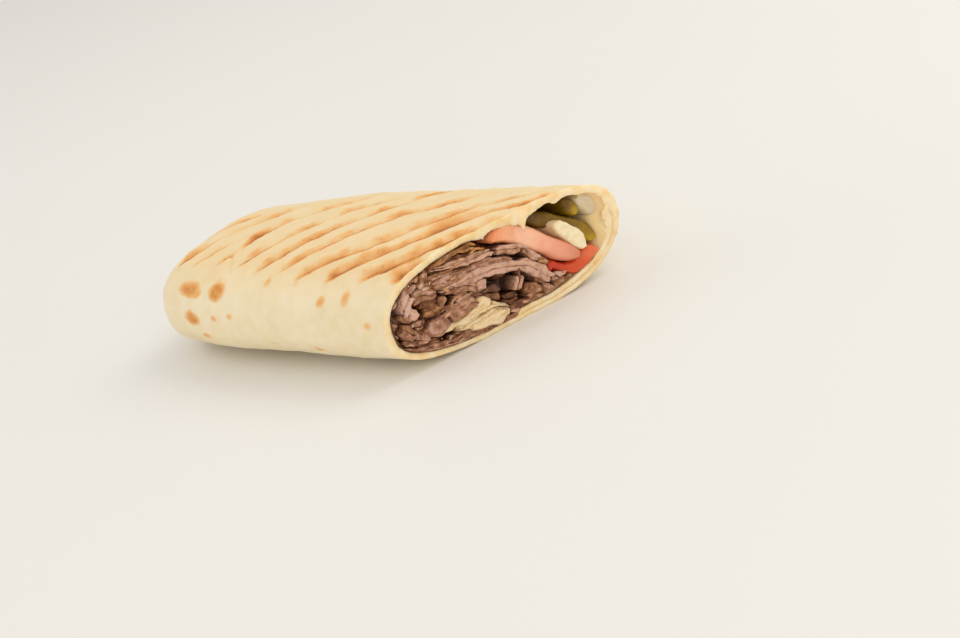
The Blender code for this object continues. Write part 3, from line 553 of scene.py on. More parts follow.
def rimmed(tree, flesh, amount, skin):
    """The flesh's colour, turning towards the skin's at a slice's edge."""
    edge = add_node(tree, "Attribute", attribute_name="edge", out="Fac")
    share = add_node(tree, "Math", {0: edge, 1: amount}, operation="MULTIPLY")
    return add_node(tree, "Mix", {0: share, 6: flesh, 7: skin}, **BLEND)


def per_size(size):
    """A texture's scale on Object coordinates, for lumps of size mm."""
    return 1 / (size * MM)


def face_order(face):
    """A number that sorts faces by their lowest, highest and second lowest vertex."""
    low, second, *_, high = sorted(vert.index for vert in face.verts)
    return (low * 100_000 + high) * 100_000 + second


def finish_piece(name, bm, material, nodes):
    """Closes a bmesh in millimetres into a named piece that replaces CAD nodes."""
    bmesh.ops.translate(bm, vec=(-LONG_SIDE / 2, 0, 0), verts=bm.verts)
    bmesh.ops.scale(bm, vec=(MM, MM, MM), verts=bm.verts)
    bmesh.ops.recalc_face_normals(bm, faces=bm.faces)
    # Blender's extrusion leaves the faces in a chance order, so each run sorts them
    bm.verts.index_update()
    bm.faces.sort(key=face_order)
    mesh = bpy.data.meshes.new(name)
    bm.to_mesh(mesh)
    bm.free()
    mesh.shade_smooth()
    mesh.materials.append(material)
    piece = bpy.data.objects.new(name, mesh)
    bpy.context.scene.collection.objects.link(piece)
    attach(piece, "root")
    if nodes:
        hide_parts(*nodes)
    return piece


def even_angles(count):
    """Angles that step evenly round the section's outline at the cut."""
    fine = 6000
    points = [outline(1.0, math.tau * i / fine) for i in range(fine + 1)]
    lengths = [0.0]
    for (q, r), (p, w) in zip(points, points[1:]):
        lengths.append(lengths[-1] + math.hypot((p - q) * WIDTH, (w - r) * HEIGHT))
    angles, i = [], 0
    for k in range(count + 1):
        while i < fine and lengths[i + 1] < lengths[-1] * k / count:
            i += 1
        step = lengths[i + 1] - lengths[i] if i < fine else 1.0
        share = (lengths[-1] * k / count - lengths[i]) / step if i < fine else 0.0
        angles.append(math.tau * (i + share) / fine)
    return angles


def crease_depth(p):
    """How deep the sheet's creases are at a point of its outer face."""
    deep = 0.0
    for x0, y0, z0, x1, y1, z1, depth, width in CREASES:
        start, end = Vector((x0, y0, z0)), Vector((x1, y1, z1))
        run = end - start
        share = min(1.0, max(0.0, (p - start).dot(run) / run.length_squared))
        ends = ease(share * 5) * ease((1 - share) * 5)
        deep = max(deep, depth * ends * bump((p - start - run * share).length, width))
    return deep


def colour_setting(name, description, code):
    """A colour that the user can change, from its sRGB hex code."""
    return bpy.props.FloatVectorProperty(name=name, description=description, default=linear(code),
                                         size=3, min=0, max=1, subtype="COLOR")


class BreadSettings(bpy.types.PropertyGroup):
    groove_depth: bpy.props.FloatProperty(
        name="Groove depth", description="How deep the grill's ribs press into the bread",
        default=0.95 * MM, min=0.0, max=3 * MM, unit="LENGTH")
    puff: bpy.props.FloatProperty(
        name="Puff", description="How far the bread swells along a groove",
        default=0.6 * MM, min=0.0, max=2 * MM, unit="LENGTH")
    crinkle: bpy.props.FloatProperty(
        name="Crinkle", description="Height of the sheet's fine unevenness",
        default=0.3 * MM, min=0.0, max=2 * MM, unit="LENGTH")
    cream: colour_setting("Cream", "Bread that the grill didn't touch", "#F3E1BC")
    toast: colour_setting("Toast", "Lightly toasted bread", "#EDB673")
    char: colour_setting("Char", "The darkest bread in the grooves", "#9C5A22")


class MeatSettings(bpy.types.PropertyGroup):
    pale: colour_setting("Pale", "The inside of a thick slice", "#D9AF9E")
    mid: colour_setting("Middle", "Most of the meat", "#A27054")
    seared: colour_setting("Seared", "The roasted outside of a slice", "#6A3C22")
    ragged: bpy.props.FloatProperty(
        name="Ragged edges", description="How far a slice's edge wanders",
        default=0.4 * MM, min=0.0, max=2 * MM, unit="LENGTH")
    tight: bpy.props.FloatProperty(
        name="Tight", description="How much thicker each slice is than it shows between its neighbours",
        default=1.1, min=0.5, max=2.0)
    flakes: bpy.props.IntProperty(
        name="Flakes", description="Number of small torn bits on the slices", default=70, min=0, max=1000)
    crumbs: bpy.props.IntProperty(
        name="Crumbs", description="Number of crumbs on the meat", default=34, min=0, max=500)


class SaladSettings(bpy.types.PropertyGroup):
    tomato: colour_setting("Tomato", "The pale tomato's flesh", "#F5A98A")
    pickle: colour_setting("Pickle", "The pickle's outer flesh", "#987812")
    lettuce: colour_setting("Lettuce", "The pale inner leaves", "#F5DCB4")
    fry: colour_setting("Fry", "The fry's soft inside", "#FBEBC6")


class StageSettings(bpy.types.PropertyGroup):
    floor: colour_setting("Floor", "The pale floor", "#ECEAE5")
    key: bpy.props.FloatProperty(
        name="Key light", description="Power of the main soft light",
        default=2.9, min=0.0, unit="POWER")
    fill: bpy.props.FloatProperty(
        name="Fill light", description="Power of the soft light from the camera's side",
        default=2.1, min=0.0, unit="POWER")


def grilled_flatbread(settings):
    """Wheat flatbread, dry-baked and pressed on a ribbed grill: matt, faintly
    translucent dough, toasted orange to brown where a rib or a bubble touched."""
    material, tree, shader = new_material("grilled wheat flatbread")
    place = add_node(tree, "TexCoord", out="Object")
    press, spot, inner = (add_node(tree, "Attribute", attribute_name=name, out="Fac")
                          for name in ("press", "spot", "inner"))
    broad, blotch, specks, grain, pores = (
        add_node(tree, "TexNoise", {"Vector": place, "Scale": per_size(size), "Detail": detail})
        for size, detail in ((17, 3.0), (4.5, 4.0), (2.1, 3.0), (0.9, 5.0), (0.55, 3.0)))
    # The dough, warmer towards the top
    dough = add_node(tree, "ValToRGB", {0: broad}, stops=((0.34, "#EBD7A9"), (0.66, settings.cream)))
    mottled = add_node(tree, "ValToRGB", {0: blotch}, stops=((0.32, "#F0DDB4"), (0.62, "#F8EBCF")))
    cream = add_node(tree, "Mix", {0: 0.4, 6: dough, 7: mottled}, **BLEND)
    height = add_node(tree, "SeparateXYZ", {0: place}, out=2)
    upward = add_node(tree, "MapRange", {0: height, 1: 26.5 * MM, 2: 32.5 * MM, 3: 0.0, 4: 0.48})
    warmed = add_node(tree, "Mix", {0: upward, 6: cream, 7: "#EBC98E"}, **BLEND)
    # How far it is toasted, in patches and grains
    toasting = add_node(tree, "Math", {0: press, 1: spot}, operation="MAXIMUM")
    patchy = add_node(tree, "MapRange", {0: blotch, 1: 0.3, 2: 0.7, 3: -0.2, 4: 0.2})
    grainy = add_node(tree, "MapRange", {0: grain, 1: 0.3, 2: 0.7, 3: -0.09, 4: 0.09})
    speckled = add_node(tree, "Math", {0: patchy, 1: grainy}, operation="ADD")
    held = add_node(tree, "Math", {0: speckled, 1: toasting}, operation="MULTIPLY")
    doubled = add_node(tree, "Math", {0: held, 1: 1.2, 2: toasting}, operation="MULTIPLY_ADD")
    amount = add_node(tree, "MapRange", {0: doubled, 1: 0.03, 2: 0.36}, interpolation_type="SMOOTHSTEP")
    scorch = add_node(tree, "Math", {0: doubled, 1: 0.63}, operation="MULTIPLY")
    brown = add_node(tree, "ValToRGB", {0: scorch}, stops=(
        (0.09, "#F0CB92"), (1.0, settings.char), (0.25, settings.toast), (0.42, "#E0984C"),
        (0.62, "#C27A38")))
    baked = add_node(tree, "Mix", {0: amount, 6: warmed, 7: brown}, **BLEND)
    flecks = add_node(tree, "MapRange", {0: specks, 1: 0.62, 2: 0.7, 3: 0.0, 4: 0.75})
    heavy = add_node(tree, "MapRange", {0: press, 1: 0.2, 2: 0.6, 3: 0.0, 4: 0.8})
    burnt = add_node(tree, "Math", {0: flecks, 1: heavy}, operation="MULTIPLY")
    baked = add_node(tree, "Mix", {0: burnt, 6: baked, 7: "#985A1E"}, **BLEND)
    # The rim's torn crumb, and the inner face, which deeper in turns to a flat warm cream: painted light
    # that stands in for light reaching into the recess
    crumb = add_node(tree, "ValToRGB", {0: blotch}, stops=((0.3, "#F2CC8C"), (0.6, "#FBE4BA")))
    within = add_node(tree, "MapRange", {0: inner, 1: 1.0, 2: 2.0, 3: 0.0, 4: 1.0})
    pale = add_node(tree, "Mix", {0: within, 6: crumb, 7: "#F6D69A"}, **BLEND)
    colour = add_node(tree, "Mix", {0: inner, 6: baked, 7: pale}, **BLEND)
    sheen = add_node(tree, "MapRange", {0: amount, 1: 0.0, 2: 1.0, 3: 0.56, 4: 0.70})
    set_surface(tree, shader, colour, ((pores, 0.3, 0.12), (blotch, 0.4, 0.35)), sheen, 1.45, 0.3,
                (2.4, 1.6, 0.9))
    return material


class DURUM_OT_bread(bpy.types.Operator):
    """Rolls the grilled flatbread round the fillings"""
    bl_idname = "durum.bread"
    bl_label = "Grilled flatbread"

    def execute(self, context):
        settings = context.scene.durum_bread
        groove, puff, crinkle = (v / MM for v in (settings.groove_depth, settings.puff, settings.crinkle))
        angles = even_angles(AROUND)
        rows = [("end", k / END_ROWS) for k in range(END_ROWS)]
        rows += [("side", k / SIDE_ROWS) for k in range(SIDE_ROWS)]
        rows += [("rim", t) for t in RIM_STEPS]
        rows += [("inner", depth) for depth in INNER_DEPTHS]
        rows += [("plug", 0.5), ("plug", 0.0)]
        bm = bmesh.new()
        press, spot, inner = (bm.verts.layers.float.new(n) for n in ("press", "spot", "inner"))
        made = bmesh.ops.create_grid(bm, x_segments=AROUND, y_segments=len(rows) - 1, size=0.5)
        outer = []
        for vert in made["verts"]:
            angle = angles[round((vert.co.x + 0.5) * AROUND)]
            kind, where = rows[round((vert.co.y + 0.5) * (len(rows) - 1))]
            vert.co = self.place(kind, where, angle, groove)
            # On the inner face the value grows past 1 with depth, and drives its painted light
            vert[inner] = {"end": 0.0, "side": 0.0, "rim": 1.0}.get(kind, 1 + min(1.0, where / 3))
            if kind in ("end", "side"):
                outer.append(vert)
        # The relief follows the normals, so they have to point outwards first
        bm.normal_update()
        bmesh.ops.recalc_face_normals(bm, faces=bm.faces)
        upwards = sum(f.normal.z for f in bm.faces if f.calc_center_median().z > HEIGHT * 0.9)
        if upwards < 0:
            bmesh.ops.reverse_faces(bm, faces=bm.faces)
        bm.normal_update()
        moves = {vert: self.relief(vert, puff, crinkle, press, spot) for vert in outer}
        for vert, move in moves.items():
            vert.co += vert.normal * move
            vert.co.z = max(vert.co.z, 0.0)
        bmesh.ops.remove_doubles(bm, verts=bm.verts, dist=SEAM)
        bmesh.ops.dissolve_degenerate(bm, edges=bm.edges, dist=SEAM / 2)
        finish_piece("flatbread_wrap", bm, grilled_flatbread(settings), ["flatbread"])
        return {"FINISHED"}

    def place(self, kind, where, angle, groove):
        """A point of the sheet before its fine relief."""
        if kind == "end":
            pole = Vector((0.0, 0.0, END_HEIGHT / 2))
            return pole.lerp(bread_outside(0.0, angle, 0.0), math.sqrt(where))
        if kind == "side":
            return bread_outside(where, angle, groove)
        if kind == "rim":
            outer = bread_outside(1.0, angle, groove)
            edge = self.inside(0.0, angle)
            point = outer.lerp(edge, where)
            thick = (outer - edge).length
            q, r = outline(1.0, angle)
            double = second_layer(q, r) * math.hypot(HOLLOW_WIDE * q, HOLLOW_HIGH * r) / SECOND_LAYER
            slit = bump((where - 0.51) * thick, 0.22) * double * (0.55 + 0.6 * rough(*point, 6))
            torn = 0.22 * rough(*point, 1.1) + 0.3 * rough(*point, 3.2)
            edges = 0.35 * (bump(where, 0.12) + bump(1 - where, 0.12))
            point.x += torn - edges - 1.4 * max(0.0, slit)
            return point
        if kind == "inner":
            return self.inside(where, angle)
        # The inner face is shut deep inside, where nothing shows
        deep = self.inside(INNER_DEPTHS[-1], angle)
        pole = Vector((deep.x, 0.0, END_HEIGHT / 2))
        return pole.lerp(deep, where)

    def inside(self, depth, angle):
        """A point of the bread's inner face, with the rim's tatters."""
        s = 1 - depth / MIDDLE
        q, r = outline(s, angle)
        keep = 1 - second_layer(q, r)
        point = hollow(s, q * keep, r * keep)
        a, z = drawn(q * keep, r * keep)
        push = out = 0.0
        for at, up, width, inwards, outwards in TATTERS:
            near = bump(math.hypot(a - at, z - up), width)
            push += inwards * near
            out += outwards * near
        fade = bump(depth, 2.2)
        at, up, width, far, deep = FOLD
        turned = far * bump(math.hypot(a - at, z - up), width) * ease(depth / deep)
        turned *= bump(depth, 5 * deep)
        push = push * fade * (1 + 0.5 * rough(*point, 0.9)) + 0.25 * rough(*point, 2.4) * fade
        centre = Vector((point.x, 0.0, HEIGHT / 2))
        point += (centre - point).normalized() * (push + turned)
        point.x += out * fade
        return point

    def relief(self, vert, puff, crinkle, press, spot):
        """How far a point of the outer face moves along its normal; sets its browning."""
        p = vert.co.copy()
        p.x -= LONG_SIDE / 2
        up = ease((p.z - (HEIGHT - GROOVE_REACH)) / (GROOVE_REACH * 0.55))
        topside = ease(vert.normal.z / 0.35) * up
        brown = swollen = 0.0
        if topside:
            _, brown, swollen = grill_mark(vert.co.x, vert.co.y)
            patch = 0.9 + 0.55 * rough(p.x, p.y, 7.0, 9) + 0.35 * rough(p.x, p.y, 9.0, 3.5)
            faint = 0.03 + 0.2 * rough(p.x, p.y, 3.0, 6.0)
            brown = max(brown * min(1.3, max(0.45, patch)), faint)
        vert[press] = brown * topside
        mark = self.underside(p, vert.normal)
        at_x = p.x if p.y < 0 else FAR_SPOTS - p.x
        for x, z, long, high, strength in SPOTS:
            away = math.hypot((at_x - x) / long, (p.z - z) / high) + 0.16 * rough(*p, 3.4)
            mark = max(mark, strength * (1 - ease((away - 0.05) / 1.35)) ** 1.2)
        vert[spot] = min(0.74, 0.95 * mark)
        move = puff * swollen * topside + 0.25 * vert[spot] * ease(p.z / 4)
        fine = crinkle * rough(*p, 7.5) + 0.45 * crinkle * rough(*p, 3.0)
        fine += 0.18 * crinkle * rough(*p, 1.3)
        return (move + fine - crease_depth(p)) * (0.35 + 0.65 * ease(p.z / 3))

    def underside(self, p, normal):
        """Browning by the grill's lower ribs, which the photograph doesn't show."""
        if normal.z > -0.5 or p.z > 2:
            return 0.0
        across = p.x * math.sin(GRILL_ANGLE) + p.y * math.cos(GRILL_ANGLE) + 0.8 * rough(*p, 14)
        off = abs(across - UNDER_SPACING * round(across / UNDER_SPACING))
        stripe = 1 - ease((off - 1.8) / 1.6)
        return stripe * min(0.85, max(0.0, 0.5 + 1.2 * rough(p.x, p.y, 3.0, 22)))


def smooth_line(points, count):
    """count + 1 even points along a smooth curve through the points, and its length."""
    first = [2 * p - q for p, q in zip(points[0], points[1])]
    last = [2 * p - q for p, q in zip(points[-1], points[-2])]
    line = [Vector(p) for p in (first, *points, last)]
    fine = []
    for p0, p1, p2, p3 in zip(line, line[1:], line[2:], line[3:]):
        for k in range(16):
            t = k / 16
            fine.append(0.5 * (2 * p1 + (p2 - p0) * t + (2 * p0 - 5 * p1 + 4 * p2 - p3) * t * t
                               + (3 * p1 - p0 - 3 * p2 + p3) * t ** 3))
    fine.append(line[-2])
    steps = [(q.xy - p.xy).length for p, q in zip(fine, fine[1:])]
    even = []
    for k in range(count + 1):
        go, i = sum(steps) * k / count, 0
        while i < len(steps) - 1 and go > steps[i]:
            go -= steps[i]
            i += 1
        even.append(fine[i].lerp(fine[i + 1], min(1.0, go / steps[i])))
    return even, sum(steps)


def laminae(line, count, chance):
    """Splits a slice's middle line into those of thin layers, side by side."""
    ways = [Vector(after[:2]) - Vector(before[:2])
            for before, after in zip((line[0], *line[:-1]), (*line[1:], line[-1]))]
    for k in range(count):
        centre = (2 * k + 1) / count - 1
        thin = []
        for (a, z, half), way in zip(line, ways):
            way = way.normalized()
            off = half * (centre + chance.uniform(-0.1, 0.1) / count)
            thin.append((a - way.y * off, z + way.x * off, half * chance.uniform(1.0, 1.15) / count))
        if count > 1:
            for end, way in ((0, -ways[0]), (-1, ways[-1])):
                slip = way.normalized() * chance.uniform(-0.9, 0.5)
                a, z, half = thin[end]
                thin[end] = (a + slip.x, z + slip.y, half)
        yield thin


def warp(a, z):
    """How unevenly everything at the cut is squeezed, across and up."""
    across = 0.8 * rough(a, z, 4.0, 4.2) + 0.2 * rough(a, z, 8.0, 1.7)
    up = 0.6 * rough(a, z, 12.0, 3.6) + 0.15 * rough(a, z, 16.0, 1.5)
    return across, up


def add_slab(bm, line, ahead, depths, layers, seed, mesh_size=0.42, ragged=0.34, rounding=0.2,
             face_relief=0.3, room=0.3, tone=0.5, warm=0.0, square=4.0, turn=0.0, shade_depth=6.0,
             squeeze=0.0, uneven=0.0):
    """Adds one slice of a filling, cut across at the front.

    line gives (a, z, half thickness) points of its middle on the cut face, ahead is how far
    it stands out, and depths are the steps by which it runs into the roll.  ragged, rounding
    and face_relief shape its edges and face, room is its gap to the bread, and shade_depth
    is where it is fully dark.  A high square gives blunt ends, squeeze warps the slice with
    its neighbours, and uneven varies its thickness.  Each vertex first holds its share along
    the line, its share across, and its step, and then moves to its place.
    """
    centre, length = smooth_line(line, 40)
    thickest = max(p.z for p in centre)
    long_steps = max(6, round(length / mesh_size))
    wide_steps = max(4, round(2 * thickest / mesh_size))
    centre, length = smooth_line(line, long_steps)
    # The face is a grid whose edge is drawn back, step by step
    made = bmesh.ops.create_grid(bm, x_segments=long_steps, y_segments=wide_steps, size=0.5)
    verts = list(made["verts"])
    touching = dict.fromkeys(e for v in verts for e in v.link_edges)    # each once, in order
    edges = [e for e in touching if e.is_boundary]
    for _ in depths[1:]:
        grown = bmesh.ops.extrude_edge_only(bm, edges=edges)["geom"]
        lifted = [g for g in grown if isinstance(g, bmesh.types.BMVert)]
        edges = [g for g in grown if isinstance(g, bmesh.types.BMEdge) and g.is_boundary]
        bmesh.ops.translate(bm, vec=(0, 0, 1), verts=lifted)
        verts += lifted
    bmesh.ops.holes_fill(bm, edges=edges, sides=0)
    grain = {}
    tilt, skew, bend = (noise.noise(Vector((seed, k, 0.7))) for k in (0.3, 1.3, 2.3))
    for vert in verts:
        share, across, step = vert.co.x + 0.5, vert.co.y * 2, round(vert.co.z)
        depth = depths[step]
        # How thick the slice is at this point of its middle line
        spot = min(long_steps, max(0, round(share * long_steps)))
        before, here, after = centre[max(0, spot - 1)], centre[spot], centre[min(long_steps, spot + 1)]
        way = (after.xy - before.xy).normalized()
        to_end = min(share, 1 - share) * length
        taper = min(1.0, to_end / max(0.8 * here.z, 0.2))
        end = (1 - (1 - taper) ** square) ** (1 / square)
        half = here.z * (0.25 + 0.75 * end) * (1 + uneven * rough(share * length, seed * 5, 0.5, 3.0))
        edge = max(abs(across), 1 - taper)
        # Its edges wander, and its ends are blunt and worn
        u, v = share * length, across * half
        wave = ragged * (rough(u + seed * 17, across * 1.3, depth / 2.5, 2.4)
                         + 0.5 * rough(u + seed * 17, across * 2, depth / 2, 0.8))
        inset = rounding * 0.7 if step == 0 else 0.0
        v += math.copysign(1, across) * (wave - inset) * min(1.0, abs(across) * 1.5)
        at_end = ease(1 - to_end / (1.4 * here.z + 0.3))
        push = at_end * (skew * v + 1.6 * ragged * rough(seed * 9, v + share * 40, depth / 3, 1.4))
        if spot in (0, long_steps):
            push += inset * (1 if spot == 0 else -1)
        a = here.x - way.y * v + way.x * push
        z = here.y + way.x * v + way.y * push
        if squeeze:
            off_a, off_z = warp(a, z)
            a, z = a + squeeze * off_a, z + squeeze * off_z
        # How far it stands out here
        relief = face_relief * (rough(a + seed * 7, z, seed, 3.2) + 0.5 * rough(a, z, seed, 1.0))
        relief += 0.3 * tilt * v + bend * face_relief * math.sin(u / 3 + seed)
        fall = rounding * max(0.0, (edge - 0.8) / 0.2) ** 2 if step == 0 else 0.0
        front = ahead + turn * (u - length / 2) + (relief - fall if step == 0 else -rounding)
        point = packed(a, z, depth, room)
        reach = max(0.0, 1 - depth / 25)
        vert.co = (point.x + front * reach, point.y, point.z)
        # What its material reads; deep is how far it lies behind the cut, which the materials turn into
        # painted shade
        side = 0.55 + 0.9 * skew if across > 0 else 0.35 - 0.6 * tilt
        seared = side * ease((abs(across) - 0.55) / 0.45) if step == 0 else 0.9
        vert[layers["tone"]] = tone
        vert[layers["warm"]] = warm
        vert[layers["edge"]] = seared
        vert[layers["deep"]] = min(1.0, (depth - min(0.0, front)) / shade_depth)
        vert[layers["along"]] = share
        grain[vert] = (u + seed * 31, across * half - depth)
    for face in {f for v in verts for f in v.link_faces}:
        for loop in face.loops:
            loop[layers["grain"]].uv = grain[loop.vert]


def slab_layers(bm):
    """The values that a filling's material reads at each point."""
    layers = {name: bm.verts.layers.float.new(name) for name in ("tone", "warm", "edge", "deep", "along")}
    layers["grain"] = bm.loops.layers.uv.new("grain")
    return layers


def shaved_meat(settings):
    """Doner meat, spit-roasted and shaved thin: grey-pink and moist inside,
    brown and firmer at a slice's edges, with fibres along the slice."""
    material, tree, shader = new_material("shaved roast meat")
    place = add_node(tree, "TexCoord", out="Object")
    grain = add_node(tree, "UVMap", uv_map="grain")
    tone, warm, edge, deep = (add_node(tree, "Attribute", attribute_name=name, out="Fac")
                              for name in ("tone", "warm", "edge", "deep"))
    stretched = add_node(tree, "Mapping", {"Vector": grain, "Scale": (0.4, 2.0, 1.0)})
    fibres = add_node(tree, "TexNoise", {"Vector": stretched, "Scale": 1.0, "Detail": 5.0})
    blotch = add_node(tree, "TexNoise", {"Vector": place, "Scale": per_size(2.2), "Detail": 4.0})
    fine = add_node(tree, "TexNoise", {"Vector": place, "Scale": per_size(0.8), "Detail": 4.0})
    spread = add_node(tree, "MapRange", {0: fibres, 1: 0.3, 2: 0.7, 3: -0.24, 4: 0.24})
    patches = add_node(tree, "MapRange", {0: blotch, 1: 0.3, 2: 0.7, 3: -0.3, 4: 0.3})
    level = add_node(tree, "Math", {0: tone, 1: spread}, operation="ADD")
    level = add_node(tree, "Math", {0: level, 1: patches}, operation="ADD")
    flesh = add_node(tree, "ValToRGB", {0: level}, stops=(
        (0.08, settings.seared), (0.95, settings.pale), (0.5, settings.mid)))
    browned = add_node(tree, "ValToRGB", {0: level}, stops=((0.1, "#6E3810"), (0.9, "#DC9C54")))
    warmth = add_node(tree, "Math", {0: warm, 1: 0.88}, operation="MULTIPLY")
    body = add_node(tree, "Mix", {0: warmth, 6: flesh, 7: browned}, **BLEND)
    crust = add_node(tree, "MapRange", {0: fine, 1: 0.35, 2: 0.65, 3: 0.1, 4: 0.65})
    seared = add_node(tree, "Math", {0: edge, 1: crust}, operation="MULTIPLY")
    crusted = add_node(tree, "Mix", {0: seared, 6: body, 7: opaque(settings.seared)}, **BLEND)
    # Painted shade of fine cracks: thin dark lines along the fibres
    thin = add_node(tree, "Mapping", {
        "Vector": grain, "Scale": (0.16, 1.9, 1.0), "Location": (9.0, 4.0, 0.0)})
    splits = add_node(tree, "TexNoise", {"Vector": thin, "Scale": 1.0, "Detail": 3.0})
    split = add_node(tree, "MapRange", {0: splits, 1: 0.31, 2: 0.38, 3: 0.45, 4: 0.0})
    lined = add_node(tree, "Mix", {0: split, 6: crusted, 7: "#54301F"}, **BLEND)
    # Painted shade: the further a point lies behind the cut, the darker brown it gets
    shade = add_node(tree, "Math", {0: deep, 1: 0.85}, operation="MULTIPLY")
    colour = add_node(tree, "Mix", {0: shade, 6: lined, 7: "#3E1E14"}, **BLEND)
    wet = add_node(tree, "MapRange", {0: blotch, 1: 0.35, 2: 0.65, 3: 0.2, 4: 0.42})
    set_surface(tree, shader, colour, ((fibres, 0.5, 0.25), (fine, 0.4, 0.25)), wet, 1.42, 0.14,
                (1.6, 0.6, 0.4))
    return material


def pale_crumbs():
    """Dry crumbs of bread, with a few browned ones."""
    material, tree, shader = new_material("bread crumbs")
    place = add_node(tree, "TexCoord", out="Object")
    patchy = add_node(tree, "TexNoise", {"Vector": place, "Scale": per_size(6), "Detail": 2.0})
    colour = add_node(tree, "ValToRGB", {0: patchy}, stops=((0.4, "#C98F52"), (0.55, "#F0D8AC")))
    connect(tree, shader, {"Base Color": colour, "Roughness": 0.7, "IOR": 1.45})
    return material


class DURUM_OT_meat(bpy.types.Operator):
    """Packs the shaved meat and lays its slices at the cut"""
    bl_idname = "durum.meat"
    bl_label = "Shaved meat"

    def execute(self, context):
        settings = context.scene.durum_meat
        chance = random.Random(5)
        bm = bmesh.new()
        layers = slab_layers(bm)
        for number, (ahead, tone, warm, count, line) in enumerate(MEAT_SLICES):
            short = math.dist(line[0][:2], line[-1][:2]) < SHORT_SLICE
            line = [(a, z, half * settings.tight) for a, z, half in line]
            for k, thin in enumerate(laminae(line, count, chance)):
                depths = (0.0, 0.4, 1.1, 2.4, 4.6, 8.0, chance.uniform(14, 24))
                out = ahead + chance.uniform(-0.35, 0.35) * (count > 1)
                add_slab(bm, thin, out, depths, layers, number + 1.3 + k * 0.37, mesh_size=0.36,
                         ragged=settings.ragged / MM * (1.0 if short else 0.7),
                         room=chance.uniform(0.1, 0.4), tone=tone + chance.uniform(-0.22, 0.18),
                         warm=warm + chance.uniform(-0.1, 0.22), shade_depth=3.4, squeeze=1.0,
                         rounding=0.16, face_relief=0.2, uneven=0.6 if short else 0.3,
                         square=2.6 if short else 4.0)
        for number in range(settings.flakes):
            add_slab(bm, *self.flake(chance), layers, 200.0 + number, mesh_size=0.3, ragged=0.4,
                     rounding=0.1, tone=chance.uniform(0.15, 1.1), warm=chance.uniform(0.1, 0.8),
                     shade_depth=3.0, squeeze=1.0, square=2.2, uneven=0.4)
        depths = (0.0, 1.5, 5.0, 12.0, 30.0, 60.0, 90.0, 118.0)
        for number, (recess, half, line) in enumerate(MEAT_BACKING):
            line = [(a, z, half) for a, z in line]
            add_slab(bm, line, recess, depths, layers, number + 70.0, mesh_size=0.9, ragged=0.9,
                     rounding=1.5, face_relief=1.8, room=1.0, tone=0.2, warm=0.4)
        crumbs = self.crumbs(BVHTree.FromBMesh(bm), settings.crumbs)
        finish_piece("shaved_meat", bm, shaved_meat(settings), ["meat"])
        finish_piece("crumbs", crumbs, pale_crumbs(), [])
        return {"FINISHED"}

    def crumbs(self, surface, count):
        """Crumbs that stick to the meat at the cut, half sunk."""
        chance = random.Random(12)
        bm = bmesh.new()
        for number in range(count):
            a, z, _ = chance.choice(chance.choice(MEAT_SLICES)[-1])
            at = packed(a + chance.gauss(0, 1.6), z + chance.gauss(0, 0.9), 0.0, 0.6)
            place = surface.ray_cast(at + Vector((CRUMB_START, 0, 0)), Vector((-1, 0, 0)))[0]
            if place is None or place.x < at.x - CRUMB_DEEPEST:
                continue
            size = chance.uniform(0.18, 0.42)
            turn = Euler([chance.uniform(0, math.tau) for _ in range(3)]).to_matrix()
            for vert in bmesh.ops.create_icosphere(bm, subdivisions=2, radius=size)["verts"]:
                swell = noise.noise(vert.co / size * 1.3 + Vector((number * 3.7, 0, 0)))
                lump = vert.co * (1 + 0.8 * swell)
                vert.co = place + turn @ Vector((lump.x, lump.y * 0.75, lump.z * 0.5))
        return bm

    def flake(self, chance):
        """A small torn bit that lies on a slice: its line, how far it stands out, its depths."""
        ahead, _, _, _, line = chance.choice(MEAT_SLICES)
        here = chance.randrange(len(line) - 1)
        start, end = Vector(line[here]), Vector(line[here + 1])
        at = start.lerp(end, chance.random())
        way = (end - start).xy.normalized()
        way.rotate(Matrix.Rotation(chance.gauss(0, 0.5), 2))
        middle = at.xy + Vector((way.y, -way.x)) * at.z * chance.uniform(-1, 1)
        reach, half = chance.uniform(0.6, 2.0), chance.uniform(0.25, 0.6)
        bend = Vector((way.y, -way.x)) * chance.uniform(-0.35, 0.35)
        points = [(middle - way * reach, 0.7), (middle + bend, 1.0), (middle + way * reach, 0.6)]
        line = [(p.x, p.y, half * share) for p, share in points]
        return line, ahead + chance.uniform(0.05, 0.4), (0.0, 0.3, 0.8, 1.6, 2.6)


def lay_filling(name, filling, seed, material, node, slot, **shape):
    """Makes a filling that runs right through the roll, in the place of its node."""
    ahead, turn, line = filling
    bm = bmesh.new()
    add_slab(bm, line, ahead, THROUGH, slab_layers(bm), seed, turn=turn, **shape)
    finish_piece(name, bm, material, [node])


